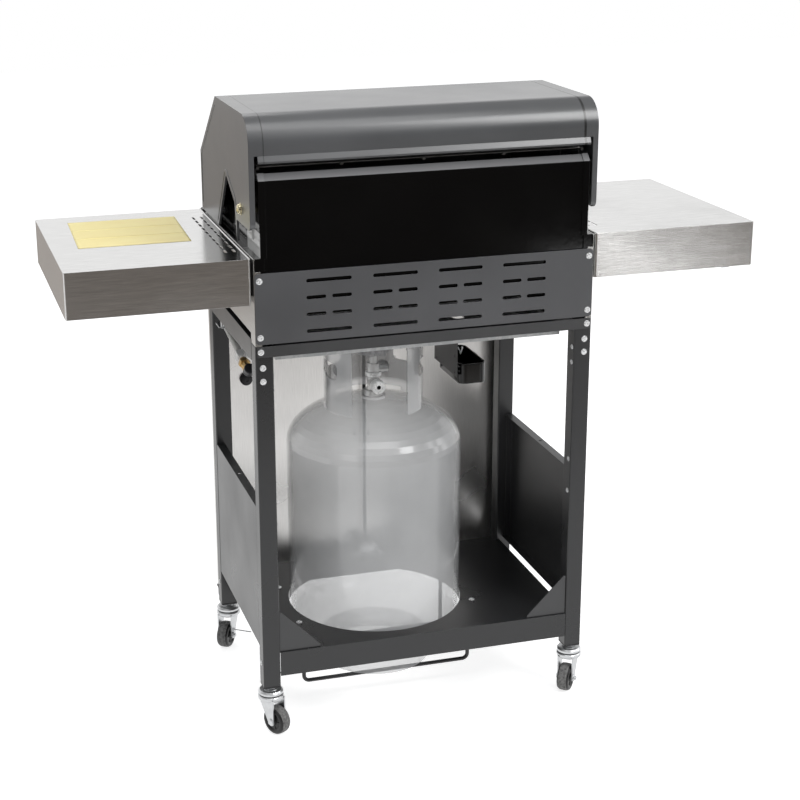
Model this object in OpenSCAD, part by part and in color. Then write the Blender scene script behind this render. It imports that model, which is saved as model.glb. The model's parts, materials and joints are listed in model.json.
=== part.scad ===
// Gas grill on a wheeled cart, with a lid that hinges at the back, two side shelves, two front doors,
// a well in the bottom shelf for a gas cylinder and a grease tray that pulls out at the back.
// Millimetres, Z up, standing on z = 0. The user stands at -Y; "right" is the user's right, at +X.

/* [Overall] */
// Width of the cart over the outer faces of its legs
cart_w = 584; // [560:2:640]
// Depth of the cart over the faces of its legs
cart_d = 379; // [370:1:430]
// Height of the side shelves' top above the floor
deck_z = 843; // [835:1:900]
// Height of the bottom shelf's top above the floor
shelf_z = 152; // [146:1:170]

/* [Sheet and tube] */
// Thickness of the folded sheet parts
sheet = 1.2; // [0.8:0.1:1.6]
// Side of the square leg tube
leg_w = 30; // [26:1:34]
// Wall of the leg tube
leg_wall = 1.5; // [1:0.1:2.5]

/* [Side shelves] */
// Length of one side shelf, outwards from the cart
shelf_len = 295.5; // [220:0.5:360]
// Depth of a side shelf, front to back
shelf_d = 408; // [360:1:430]
// Height of a side shelf's folded apron
shelf_h = 76; // [50:1:90]
// Number of short slots in one row beside the firebox
slot_count = 10; // [4:1:11]

/* [Lid] */
// Depth of the lid, front to back
lid_d = 390; // [384:1:400]
// Height of the lid from its front edge to its flat top
lid_h = 219; // [200:1:240]
// Height of the lid's upright front face
lid_face_h = 105; // [90:1:130]
// Depth of the lid's sloping front
lid_slope_d = 142; // [110:1:170]
// Radius of the lid's bend at the back
lid_bend_r = 46; // [30:1:60]
// Width of the end cap's band, in from its outer face
cap_w = 24; // [18:0.5:40]
// Diameter of the lid's pivot bolt
pivot_d = 8; // [6:0.5:12]

/* [Firebox] */
// Thickness of the firebox wall
box_t = 2; // [1.5:0.1:3]
// Height of the firebox rear wall above the deck
box_rear_h = 123; // [110:1:128]
// Height of the firebox front wall above the deck
box_front_h = 47; // [40:1:60]
// Diameter of a burner tube
burner_d = 32; // [25:1:38]
// Distance between two burners
burner_pitch = 170; // [140:1:180]
// Distance between two bars of the cooking grate
bar_pitch = 23; // [16:0.5:30]
// Width of a bar of the cooking grate
bar_w = 7; // [5:0.5:9]
// Diameter of the warming rack's wire
rack_wire = 4; // [3:0.5:6]
// Depth of the warming rack, front to back
rack_d = 118; // [90:1:118]
// Width of the posts folded over the ends of the firebox rear wall
post_w = 11; // [8:1:14]
// Height of the sloping lip on the firebox rear wall
lip_h = 10.5; // [6:0.5:11]

/* [Rear panel] */
// Height of the slotted rear panel
vent_h = 117; // [110:1:125]
// Distance between two groups of slots
vent_pitch = 112; // [100:1:120]
// Length of a long slot
vent_slot = 76; // [60:1:84]
// Width of a slot
vent_slot_w = 6; // [3:0.5:7]

/* [Controls] */
// Diameter of a control knob
knob_d = 50; // [40:1:60]
// Length of a control knob
knob_len = 28; // [20:1:34]
// Diameter of the igniter button
button_d = 18; // [12:1:24]
// Travel of the igniter button
button_travel = 4; // [2:0.5:5]

/* [Doors] */
// Thickness of a door
door_t = 15; // [12:1:18]
// Diameter of a door's hinge pin
pin_d = 6; // [4:0.5:7]
// Distance between a door handle's two fixings
handle_span = 180; // [120:2:210]
// Height of the door handle above the bottom shelf
handle_up = 367; // [300:1:480]

/* [Gas cylinder] */
// Diameter of the well in the bottom shelf
well_d = 315; // [300:1:320]
// Diameter of the gas cylinder
bottle_d = 311; // [280:1:311]
// Height of the gas cylinder over its collar
bottle_h = 603; // [540:1:603]
// Diameter of the cradle's wire
cradle_wire = 7; // [5:0.5:8]
// Depth of the cradle below the bottom shelf
cradle_drop = 120; // [90:1:120]

/* [Grease tray] */
// Depth of the grease tray's pan
tray_h = 16; // [12:1:18]
// Width of the grease cup
cup_w = 50; // [40:1:60]
// Length of the grease cup, front to back
cup_len = 118; // [90:1:130]
// Height of the grease cup
cup_h = 36; // [28:1:45]

/* [Casters] */
// Height of a caster, from the floor to the leg
caster_h = 90; // [86:1:100]
// Diameter of a caster wheel
wheel_d = 50; // [46:1:54]
// Width of a caster wheel
wheel_w = 22; // [18:1:24]
// Distance of the axle from the swivel axis
trail = 14; // [10:1:18]

/* [Hidden] */
$fn = 64;

// Clearances: between pieces that rest on each other, and around a shaft
gap = 0.3;
run_fit = 0.05;

// Cart: half sizes, leg centres and levels
half_w = cart_w / 2;
half_d = cart_d / 2;
leg_x = half_w - leg_w / 2;
leg_y = half_d - leg_w / 2;
inner_x = half_w - leg_w;
rail_top = deck_z - 139;
rail_h = 36;
back_rail_top = deck_z - 145;
back_rail_h = 18;
vent_z = back_rail_top + 3.5;
ledge_z = back_rail_top - back_rail_h - 4;
shelf_front_y = -half_d + 10.5;
apron_h = 44;
panel_foot = 5;
panel_h = 256;
flange_w = 15;

// Side walls beside the firebox
wall_z = rail_top + 12;
wall_x = half_w - 0.5;
rib_d = 3;

// Side shelves
shelf_x = half_w + 3;
shelf_back_y = half_d - 3;

// Firebox
box_half = half_w - 12;
box_front_y = -half_d - 6.5;
box_back_y = half_d - 3;
box_rear_z = deck_z + box_rear_h;
box_front_z = deck_z + box_front_h;
wing_x = half_w - 3;
wing_z = deck_z - 19;
strip_z = vent_z + vent_h + gap;
basin_z = deck_z - 98;
drain_z = deck_z - 135;
drain_half = 45;
spit_y = 13.5;
spit_r = 8;
grate_z = deck_z + 31;
grate_h = 12;

// Lid
lid_z = deck_z + 5;
lid_top = lid_z + lid_h;
lid_back_y = half_d - 3;
lid_front_y = lid_back_y - lid_d;
lid_face_z = lid_z + lid_face_h;
lid_slope_y = lid_front_y + lid_slope_d;
lid_slope = atan2(lid_top - lid_face_z, lid_slope_d);
lid_t = 1.5;
cap_x = half_w + 2.5;
cap_plate = 4;
cap_in_x = cap_x - cap_w;
pivot_y = half_d - 69;
pivot_z = deck_z + 68;
lip_z = deck_z + 163;
notch_y = 13.5;
notch_z = deck_z + 102;

// Front: header, doors, control panel, manifold
header_z = rail_top - 12;
header_h = 14;
door_gap = 3;
door_back_y = -half_d - door_gap;
door_front_y = door_back_y - door_t;
door_z = shelf_z - 40;
door_top = header_z - 2;
door_out_x = half_w - 2;
door_in_x = 1.5;
hinge_x = door_out_x - 6;
hinge_y = door_back_y - door_t / 2;
panel_front_y = -half_d - 42.5;
panel_z = rail_top + 3;
panel_top = deck_z + 2.5;
knob_z = deck_z - 68;
bezel_t = 2;
igniter_x = half_w - 50;
pipe_y = panel_front_y + 18;
pipe_r = 8;
stem_d = 8;

// Grease tray and its cup
tray_half = inner_x - 12;
tray_flange = 9;
tray_front_y = -half_d + 39.5;
tray_back_y = half_d - 37;
tray_top = ledge_z + sheet + gap + sheet;
tray_bottom = tray_top - tray_h;
cup_x = -94;
cup_back_y = 72.5;
cup_rim_z = 598;
hook_y = [cup_back_y - 22, cup_back_y - cup_len + 22];

// Gas cylinder
well_x = 39.6;
well_y = 7;
bottle_r = bottle_d / 2;
bottle_z = shelf_z - cradle_drop + cradle_wire;
bottle_top = bottle_z + bottle_h;
collar_r = 88;
collar_mid = 82;
collar_t = 3;
ring_r = 100;
dome_z = bottle_top - 108;
shoulder_z = dome_z - 78;
valve_z = dome_z - 6;

// Casters: which leg, and the way each one trails at rest
raceway_z = caster_h - 28;
axle_d = 7;
fork_gap = 1.2;
swing_rr = 120;
swing_rl = 50;
swing_fr = 55;
swing_fl = 108;

// Crowned tread as distance from the axle and along it, and how far back a rear wheel reaches
tread = [for (p = [[3, -1, 0], [0.6, -1, 3], [0, -1, 6], [0, 1, 6], [0.6, 1, 3], [3, 1, 0]])
  [wheel_d / 2 - p[0], p[1] * (wheel_w / 2 - p[2])]];
function reach(swing) =
  trail * sin(swing) + max([for (p = tread) p[0] * abs(sin(swing)) + p[1] * abs(cos(swing))]);

// The origin is the middle of the box: what reaches furthest forwards is a knob, and furthest
// backwards a rear wheel
screw_head = 1.5;
front_reach = -(panel_front_y - bezel_t - knob_len);
back_reach = leg_y + max(reach(swing_rr), reach(swing_rl));
frame_y = (front_reach - back_reach) / 2;

// Route of the gas hose, from the manifold's inlet to the nut of its end fitting
hose_d = 10;
hose_x = half_w - 15;
hose_route = [
  [-85, -214, 757], [-85, -214, 745], [-82, -214, 732], [-72, -214, 722], [-55, -214, 718],
  [-30, -214, 717], [10, -214, 717], [60, -214, 717], [110, -213, 717], [160, -211, 717],
  [205, -208, 717], [hose_x - 42, -203, 717], [hose_x - 22, -194, 716], [hose_x - 11, -180, 714],
  [hose_x - 7, -164, 709], [hose_x - 5, -150, 700], [hose_x - 4, -140, 688], [hose_x - 3, -132, 675],
  [hose_x - 1.5, -124, 664], [hose_x, -112, 655], [hose_x, -100, 652], [hose_x, -88, 649],
  [hose_x, -60, 643.5], [hose_x, -40, 640], [hose_x, -20, 636], [hose_x, 0, 632]
];
hose_end = hose_route[len(hose_route) - 1];
clip_at = 20;

black = [0.09, 0.09, 0.1];
graphite = [0.24, 0.25, 0.26];
steel = [0.76, 0.75, 0.73];
zinc = [0.82, 0.83, 0.84];
brass = [0.78, 0.62, 0.34];
iron = [0.12, 0.12, 0.12];
bottle_grey = [0.72, 0.73, 0.73];

// Unit vector, and the left-hand normal of a straight run
function unit(v) = v / norm(v);
function left_of(a, b) = let (d = unit(b - a)) [-d[1], d[0]];

// Corner i of a folded outline, moved sideways by t with its fold kept sharp
function mitred(path, i, t) =
  let (
    last = len(path) - 1,
    a = i > 0 ? left_of(path[i - 1], path[i]) : left_of(path[0], path[1]),
    b = i < last ? left_of(path[i], path[i + 1]) : a,
    m = unit(a + b)
  )
  path[i] + m * (t / (m * a));

// Outline of a folded sheet: the path, and back along the same path moved sideways by t
function folded(path, t) =
  concat(path, [for (i = [len(path) - 1:-1:0]) mitred(path, i, t)]);

module place() {
  translate([0, frame_y, 0]) children();
}

module both_sides() {
  children();
  mirror([1, 0, 0]) children();
}

// A folded sheet, its profile in the YZ plane, from x0 to x1
module folded_along_x(path, t, x0, x1) {
  translate([x0, 0, 0]) rotate([90, 0, 90]) linear_extrude(x1 - x0) polygon(folded(path, t));
}

// A folded sheet, its profile in the XZ plane, from y0 to y1
module folded_along_y(path, t, y0, y1) {
  translate([0, y1, 0]) rotate([90, 0, 0]) linear_extrude(y1 - y0) polygon(folded(path, t));
}

// A plate in the YZ plane, cut from the given outline
module yz_plate(x0, x1) {
  translate([x0, 0, 0]) rotate([90, 0, 90]) linear_extrude(x1 - x0) children();
}

// A rectangle from the origin with round corners
module rounded_rect(w, h, r) {
  translate([r, 0]) square([w - 2 * r, h]);
  translate([0, r]) square([w, h - 2 * r]);
  for (x = [r, w - r], y = [r, h - r]) translate([x, y]) circle(r);
}

module rounded_box(w, d, h, r) {
  linear_extrude(h) rounded_rect(w, d, r);
}

// A slot with round ends, centred, its length along X
module slot_shape(len, w) {
  translate([-(len - w) / 2, -w / 2]) square([len - w, w]);
  for (s = [-1, 1]) translate([s * (len - w) / 2, 0]) circle(w / 2);
}

module rod_x(x0, x1, y, z, d) {
  translate([x0, y, z]) rotate([0, 90, 0]) cylinder(h = x1 - x0, d = d);
}

module rod_y(x, y0, y1, z, d) {
  translate([x, y1, z]) rotate([90, 0, 0]) cylinder(h = y1 - y0, d = d);
}

module cylinder_at(z0, z1, d) {
  translate([0, 0, z0]) cylinder(h = z1 - z0, d = d);
}

// A straight wire between two points
module wire(a, b, d) {
  v = b - a;
  translate(a) rotate([0, acos(v[2] / norm(v)), atan2(v[1], v[0])]) cylinder(h = norm(v), d = d);
}

// Head of a cross-head screw, on a face whose outward normal is +Z
module screw_head_up(d = 10.5) {
  cylinder(h = screw_head, d1 = d, d2 = d * 0.72);
}

module screws_back(points, y) {
  for (p = points) translate([p[0], y, p[1]]) rotate([-90, 0, 0]) screw_head_up();
}

module screws_out(points, x) {
  for (p = points) translate([x, p[0], p[1]]) rotate([0, 90, 0]) screw_head_up(9);
}

// Cart

module bottom_shelf() {
  edge_x = wall_x - 21.5;
  front = shelf_front_y;
  color(graphite)
  difference() {
    union() {
      translate([-edge_x, front, shelf_z - sheet]) cube([2 * edge_x, half_d - front, sheet]);
      translate([-edge_x, half_d - sheet, shelf_z - apron_h]) cube([2 * edge_x, sheet, apron_h]);
      translate([-edge_x, front, shelf_z - apron_h]) cube([2 * edge_x, sheet, apron_h]);
      both_sides() translate([edge_x - sheet, front, shelf_z - apron_h])
        cube([sheet, half_d - front, apron_h]);
      folded_along_x([[half_d - 12, shelf_z - apron_h], [half_d, shelf_z - apron_h]], sheet,
        -inner_x + 2, inner_x - 2);
      translate([well_x, well_y, shelf_z - 19]) cylinder(h = 19, d = well_d + 2 * sheet, $fn = 128);
    }
    translate([well_x, well_y, shelf_z - 30]) cylinder(h = 60, d = well_d, $fn = 128);
    for (sx = [-1, 1], sy = [-1, 1])
      translate([sx * leg_x, sy * leg_y, shelf_z])
        cube([leg_w + 2 * gap, leg_w + 2 * gap, 3 * apron_h], center = true);
    for (sx = [-1, 1], y = [-47, 106])
      translate([well_x + sx * 162, y - 17.5 + well_y, shelf_z - 5]) cylinder(h = 10, d = 5);
  }
}

module leg() {
  inner = leg_w - 2 * leg_wall;
  difference() {
    translate([-leg_w / 2, -leg_w / 2, caster_h])
      rounded_box(leg_w, leg_w, back_rail_top - caster_h, 2.5);
    translate([-inner / 2, -inner / 2, caster_h - 1])
      rounded_box(inner, inner, back_rail_top - caster_h + 2, 1);
  }
}

module legs() {
  color(graphite) for (sx = [-1, 1], sy = [-1, 1]) translate([sx * leg_x, sy * leg_y, 0]) leg();
}

// Half-height side panel with its flanges folded inwards
module side_panel() {
  z0 = shelf_z + panel_foot;
  z1 = z0 + panel_h;
  x = wall_x;
  end_y = half_d - leg_w - gap;
  difference() {
    union() {
      folded_along_y([[x - flange_w, z0], [x, z0], [x, z1], [x - flange_w, z1]], sheet,
        -end_y, end_y);
      for (y = [-end_y, end_y - sheet]) translate([x - 12, y, z0 + 3]) cube([12, sheet, panel_h - 6]);
    }
    translate([x - flange_w / 2, 0, z1 - 5]) cylinder(h = 10, d = 6);
  }
}

module side_panels() {
  color(graphite) both_sides() side_panel();
}

// Side rail: folded flange at its top, ledge inside that carries the grease tray
module side_rail() {
  end_y = half_d - leg_w - gap;
  x = half_w;
  folded_along_y([[x, rail_top - rail_h], [x, rail_top], [x - 10, rail_top]], sheet, -end_y, end_y);
  translate([inner_x - 10.5, -105, ledge_z]) cube([x - inner_x + 10.5 - sheet / 2, end_y + 105, sheet]);
}

module side_rails() {
  color(graphite) both_sides() side_rail();
}

module rear_rail() {
  x = half_w - 3;
  z0 = back_rail_top - back_rail_h;
  y = half_d + sheet;
  color(graphite) {
    folded_along_x([[y, z0], [y, back_rail_top]], sheet, -x, x);
    folded_along_x([[half_d, back_rail_top - sheet], [half_d - 14, back_rail_top - sheet]], -sheet,
      -inner_x + 2, inner_x - 2);
    translate([-inner_x + 2, half_d - 0.1, back_rail_top - sheet])
      cube([2 * inner_x - 4, 0.2, sheet]);
  }
}

module front_header() {
  x = half_w - 2;
  color(graphite) {
    translate([-x, -half_d - sheet, header_z]) cube([2 * x, sheet, header_h]);
    translate([-inner_x + 2, -half_d - sheet, header_z]) cube([2 * inner_x - 4, 14, sheet]);
  }
}

// One group of slots: a long one, two rows of two short ones, a long one
module slot_group() {
  row = (vent_h - 33) / 3;
  short = (vent_slot - 10) / 2;
  for (r = [0, 3]) translate([0, r * row]) slot_shape(vent_slot, vent_slot_w);
  for (r = [1, 2], s = [-1, 1])
    translate([s * (vent_slot - short) / 2, r * row]) slot_shape(short, vent_slot_w);
}

module rear_vent_panel() {
  x = half_w - 1.5;
  color(graphite) {
    translate([0, half_d + sheet, vent_z]) rotate([90, 0, 0]) linear_extrude(sheet) difference() {
      translate([-x, 0]) rounded_rect(2 * x, vent_h, 6);
      for (i = [-1.5:1:1.5]) translate([i * vent_pitch, 16.5]) slot_group();
      for (s = [-1, 1], z = [11.5, vent_h - 12]) translate([s * (half_w - 9), z]) circle(2);
    }
    translate([-x + 12, box_back_y + gap, vent_z + vent_h - sheet])
      cube([2 * x - 24, half_d - box_back_y, sheet]);
  }
}

// Side wall beside the firebox: a ledge inside carries the firebox, a bright rib runs along its top,
// and the ends are folded inwards and stand on the legs
module side_wall() {
  x = wall_x;
  color(steel)
  difference() {
    union() {
      translate([x - sheet, -half_d, back_rail_top + gap]) cube([sheet, cart_d, deck_z - 1 - back_rail_top]);
      translate([box_half + gap, -half_d + 3, wing_z - sheet - gap])
        cube([x - box_half - gap, cart_d - 6, sheet]);
      for (y = [-half_d, half_d - sheet])
        translate([box_half + gap, y, back_rail_top + gap])
          cube([x - box_half - gap, sheet, wing_z - back_rail_top - 3]);
      rod_y(x - 0.6, -half_d, half_d, deck_z - 1, rib_d);
    }
    translate([x - 3, -half_d + leg_w, back_rail_top - 1]) cube([6, cart_d - 2 * leg_w, wall_z - back_rail_top]);
    for (z = [vent_z + 11.5, vent_z + vent_h - 12]) rod_y(half_w - 9, half_d - 5, half_d + 5, z, 4);
  }
}

module side_walls() {
  both_sides() side_wall();
}

// Triangular gussets in the rear corners, standing on the bottom shelf
module corner_gussets() {
  leg = 72;
  y = half_d - 3.5;
  color(graphite) both_sides()
    translate([inner_x - gap, y, shelf_z + gap]) rotate([90, 0, 0]) linear_extrude(2)
      polygon([[0, 0], [-leg, 0], [-leg, 4], [-4, leg], [0, leg]]);
}

// A wire in the XZ plane, down from z1 at -w, across at z0 and up again at +w, with bend radius r
module u_wire(w, z0, z1, r, d) {
  for (s = [-1, 1]) {
    translate([s * w, 0, z0 + r]) cylinder(h = z1 - z0 - r, d = d);
    translate([s * (w - r), 0, z0 + r]) rotate([90, 0, 0]) rotate([0, 0, s > 0 ? -90 : 180])
      rotate_extrude(angle = 90) translate([r, 0]) circle(d = d);
  }
  rod_x(-w + r, w - r, 0, z0, d);
}

// Two bent wires hang under the well and carry the cylinder's foot ring
module cylinder_cradle() {
  top = shelf_z - sheet - gap;
  low = shelf_z - cradle_drop + cradle_wire / 2;
  color(iron) for (y = [-76.5, 76.5]) translate([well_x, well_y + y, 0]) {
    u_wire(155, low, top - 1, 10, cradle_wire);
    for (s = [-1, 1]) difference() {
      translate([s > 0 ? 152 : -169, -7, top - 3]) rounded_box(17, 14, 3, 4);
      translate([s * 162, 0, top - 6]) cylinder(h = 10, d = 5);
    }
  }
}

// Catch for the two doors, on the front of the bottom shelf
module door_catch() {
  y = shelf_front_y + 12;
  color(zinc) translate([0, y, shelf_z]) {
    difference() {
      translate([-31, -8, 0]) rounded_box(62, 16, 2, 4);
      for (s = [-1, 1]) translate([s * 25, 0, -1]) cylinder(h = 4, d = 4);
    }
    translate([0, 8, 0]) rotate([90, 0, 0]) linear_extrude(16)
      polygon(folded([[-20, 1], [-17, 21], [17, 21], [20, 1]], -2));
    translate([-13, -7, 8]) cube([26, 13, 11.5]);
  }
}

// Brackets with the pins on which the doors turn
module door_hinges() {
  plate = 2;
  color(graphite) both_sides() {
    for (end = [0, 1]) {
      z = end == 0 ? door_z - 0.6 - plate : door_top + 0.6;
      pin_z = end == 0 ? z : z - 8;
      back = end == 0 ? -half_d - gap : -half_d - sheet - gap;
      translate([hinge_x - 9, hinge_y - 7, z]) rounded_box(17, back - hinge_y + 7, plate, 3);
      translate([hinge_x - 9, back - plate, end == 0 ? z - 14 : z])
        cube([17, plate, end == 0 ? 16 : header_h - 4]);
      translate([hinge_x, hinge_y, pin_z]) cylinder(h = 8 + plate, d = pin_d);
    }
  }
}

// Firebox

// Side of the firebox seen along X, with the spit rest in its top edge
module box_side_outline() {
  edge_y = box_back_y + gap + 0.75;
  difference() {
    polygon([[box_front_y, box_front_z], [box_front_y, basin_z], [-drain_half, drain_z],
      [drain_half, drain_z], [box_back_y, basin_z], [box_back_y, strip_z], [edge_y, strip_z],
      [edge_y, box_rear_z + 0.3], [box_back_y - lip_h + 0.75, box_rear_z + lip_h + 0.75],
      [box_back_y - lip_h - 3, box_rear_z], [pivot_y - 22, box_rear_z], [pivot_y - 52, box_front_z]]);
    translate([spit_y, box_front_z - spit_r]) circle(spit_r);
    translate([spit_y - spit_r, box_front_z - spit_r]) square([2 * spit_r, 2 * spit_r]);
    translate([pivot_y, pivot_z]) circle(pivot_d / 2 + run_fit);
  }
}

// One side of the firebox: the plate, its post folded over the rear wall's end and along the lip, and
// the wing that covers the gap to the side shelf
module box_side() {
  y = box_back_y + gap;
  rise = gap * 0.414;
  yz_plate(box_half - box_t, box_half) box_side_outline();
  folded_along_x([[y, deck_z - 1], [y, box_rear_z + rise], [y - lip_h, box_rear_z + lip_h + rise]], -1.5,
    box_half - post_w, box_half);
  translate([box_half - post_w + 4, y, strip_z])
    cube([wing_x - box_half + post_w - 4, 1.5, deck_z - strip_z]);
  folded_along_y([[box_half - 0.5, deck_z], [wing_x, deck_z], [wing_x, wing_z]], -1.5, -half_d + 4, y + 0.75);
}

// Firebox: two side plates, and the front and rear walls between them, which slope to the drain
module firebox() {
  x = box_half - box_t - gap;
  color(black) {
    both_sides() box_side();
    difference() {
      union() {
        folded_along_x([[box_front_y, box_front_z], [box_front_y, basin_z], [-drain_half, drain_z]], box_t,
          -x, x);
        folded_along_x([[drain_half, drain_z], [box_back_y, basin_z], [box_back_y, box_rear_z],
          [box_back_y - lip_h, box_rear_z + lip_h]], box_t, -x, x);
        for (y = [box_front_y + box_t, box_back_y - box_t - 10])
          translate([-x, y - 0.1, grate_z - 1.5]) cube([2 * x, 10.2, 1.5]);
      }
      for (i = [-1, 0, 1])
        rod_y(i * burner_pitch, box_front_y - 5, box_front_y + 8, knob_z, burner_d + 2 * gap);
    }
  }
}

// Burner: a closed tube with two rows of ports, open at the front for gas and air
module burner(x) {
  y0 = box_front_y - 5;
  y1 = box_back_y - box_t - gap;
  color(steel) translate([x, 0, 0]) {
    difference() {
      rod_y(0, y0, y1 - 12, knob_z, burner_d);
      rod_y(0, y0 - 1, y1 - 14, knob_z, burner_d - 3);
      for (s = [-1, 1], i = [0:17])
        translate([0, box_front_y + 45 + i * 17, knob_z]) rotate([0, s * 70, 0]) cylinder(h = burner_d, d = 3, $fn = 16);
      for (a = [60, 180, 300])
        translate([0, box_front_y + 14, knob_z]) rotate([0, a, 0]) cylinder(h = burner_d, d = 9);
    }
    translate([-12, y1 - 13, knob_z - 6]) cube([24, 13, 2]);
    translate([-12, y1 - 1.5, knob_z - 18]) cube([24, 1.5, 14]);
  }
}

module burners() {
  for (i = [-1, 0, 1]) burner(i * burner_pitch);
}

// Bent plates that keep fat off the burners and spread the heat
module flame_tamers() {
  inner_y0 = box_front_y + box_t + gap;
  inner_y1 = box_back_y - box_t - gap;
  z = deck_z - 22;
  color(steel) for (i = [-1, 0, 1]) translate([i * burner_pitch, 0, 0]) difference() {
    folded_along_y([[-62, z - 12], [-58, z], [0, z + 34], [58, z], [62, z - 12]], -1.5, inner_y0, inner_y1);
    for (s = [-1, 1], k = [0:6])
      translate([s * 30, inner_y0 + 40 + k * 48, z]) linear_extrude(40) rotate(90) slot_shape(26, 6);
  }
}

// One half of the cooking grate, cast in one piece
module grate(x0) {
  w = box_half - box_t - 1;
  y0 = box_front_y + box_t + gap;
  y1 = box_back_y - box_t - gap;
  bars = floor((w - bar_w) / bar_pitch);
  step = (w - bar_w) / bars;
  color(iron) translate([x0, 0, grate_z + gap]) {
    for (i = [0:bars]) translate([i * step, y0, 0]) cube([bar_w, y1 - y0, grate_h]);
    for (y = [y0, (y0 + y1) / 2 - 4, y1 - 8]) translate([0, y, 0]) cube([w, 8, grate_h - 3]);
  }
}

module grate_right() {
  grate(0.5);
}

module grate_left() {
  grate(-0.5 - (box_half - box_t - 1));
}

// Warming rack: wires across thicker rails, on legs that stand against the firebox's side walls
module warming_rack() {
  rail = rack_wire + 1;
  x = box_half - box_t - gap - rail / 2;
  y1 = pivot_y + 42;
  y0 = y1 - rack_d;
  z = box_rear_z + 19;
  count = 9;
  color(zinc) {
    for (i = [0:count - 1]) rod_x(-x - 1, x + 1, y0 + i * (y1 - y0) / (count - 1), z, rack_wire);
    for (k = [-1, -0.5, 0, 0.5, 1]) rod_y(k * x, y0 - 3, y1 + 3, z - rack_wire / 2 - 0.4, rail);
    for (s = [-1, 1], y = [y0 + 30, y1 - 12])
      translate([s * (x + 0.7), y, z - 60]) cylinder(h = 58, d = rack_wire - 0.6);
  }
}

// Front: manifold, control panel, knobs

// Manifold with one valve at each knob and its two hangers
module gas_manifold() {
  y = pipe_y;
  front = panel_front_y + sheet + gap;
  color(brass) difference() {
    union() {
      rod_x(-burner_pitch - 40, burner_pitch + 34, y, knob_z, 2 * pipe_r);
      for (i = [-1, 0, 1]) translate([i * burner_pitch, 0, 0]) {
        rod_y(0, y - 12, y + 10, knob_z, 24);
        rod_y(0, panel_front_y - bezel_t - 14, y, knob_z, stem_d);
        rod_y(0, y, y + 16, knob_z, 10);
      }
      for (x = [-burner_pitch / 2, burner_pitch / 2]) translate([x - 8, front, knob_z - 10])
        cube([16, y - front, 20]);
      translate([hose_route[0][0], y, hose_route[0][2]]) cylinder(h = knob_z - hose_route[0][2], d = 14);
    }
    for (x = [-burner_pitch / 2, burner_pitch / 2]) rod_y(x, front - 1, front + 8, knob_z - 6, 3);
  }
}

module control_panel() {
  rise = 12;
  outline = [[-half_d - 1.4, panel_z], [panel_front_y + 8, panel_z], [panel_front_y, panel_z + 7],
    [panel_front_y, panel_top - rise], [panel_front_y + 10, panel_top], [lid_front_y - 1, panel_top],
    [lid_front_y - 1, panel_top - 8]];
  x = half_w + 2;
  color(graphite) difference() {
    union() {
      folded_along_x(outline, -sheet, -x, x);
      both_sides() yz_plate(x - sheet, x) polygon(concat(outline, [[-half_d - 1.4, panel_top - 8]]));
    }
    for (i = [-1, 0, 1])
      rod_y(i * burner_pitch, panel_front_y - 5, panel_front_y + 5, knob_z, stem_d + 4);
    rod_y(igniter_x, panel_front_y - 5, panel_front_y + 5, knob_z, button_d + 6);
  }
}

// Round bezels behind the knobs, and the igniter's housing
module panel_bezels() {
  back = panel_front_y;
  front = back - bezel_t;
  color(zinc) {
    for (i = [-1, 0, 1]) difference() {
      rod_y(i * burner_pitch, front, back, knob_z, knob_d + 16);
      rod_y(i * burner_pitch, front - 1, back + 1, knob_z, stem_d + 4);
    }
    difference() {
      union() {
        rod_y(igniter_x, front - 4, back, knob_z, button_d + 12);
        rod_y(igniter_x, back - 0.1, back + 22, knob_z, button_d + 5);
      }
      rod_y(igniter_x, front - 6, back + 18, knob_z, button_d + 2 * run_fit);
    }
  }
}

// Knob: skirt, grip bar and a bore that runs on the valve's stem
module knob(x) {
  back = panel_front_y - bezel_t - gap;
  front = panel_front_y - bezel_t - knob_len;
  color(black) difference() {
    union() {
      rod_y(x, back - 8, back, knob_z, knob_d);
      rod_y(x, front + 3, back, knob_z, knob_d - 10);
      translate([x - 6, front, knob_z - (knob_d - 8) / 2]) cube([12, back - front, knob_d - 8]);
    }
    rod_y(x, panel_front_y - bezel_t - 14 - gap, back + 1, knob_z, stem_d + 2 * run_fit);
  }
}

module knob_right() {
  knob(burner_pitch);
}

module knob_centre() {
  knob(0);
}

module knob_left() {
  knob(-burner_pitch);
}

module igniter_button() {
  front = panel_front_y - bezel_t - 4;
  color(black) union() {
    rod_y(igniter_x, front - 5, panel_front_y + 18 - button_travel - 2, knob_z, button_d);
    rod_y(igniter_x, front - 6, front - 4.5, knob_z, button_d - 4);
  }
}

// Side shelves

module side_shelf() {
  wall = sheet;
  y0 = shelf_back_y - shelf_d;
  z0 = deck_z - shelf_h;
  color(steel) difference() {
    union() {
      difference() {
        translate([shelf_x, y0, z0]) rounded_box(shelf_len, shelf_d, shelf_h, 4);
        translate([shelf_x + wall, y0 + wall, z0 + wall])
          rounded_box(shelf_len - 2 * wall, shelf_d - 2 * wall, shelf_h - 2 * wall, 3);
        translate([shelf_x + 12, y0 + 12, z0 - 1]) cube([shelf_len - 24, shelf_d - 24, 5]);
      }
      rod_y(shelf_x + rib_d / 2, y0 + 2, shelf_back_y - 2, deck_z, rib_d);
    }
    pitch = (shelf_d - 118) / slot_count;
    for (i = [0:slot_count - 1], x = [13, 27.5])
      translate([shelf_x + x, -11.5 + (i - (slot_count - 1) / 2) * pitch, deck_z - 5])
        linear_extrude(10) rotate(90) slot_shape(pitch * 0.76, 4);
  }
}

module side_shelf_right() {
  side_shelf();
}

module side_shelf_left() {
  mirror([1, 0, 0]) side_shelf();
}

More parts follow.
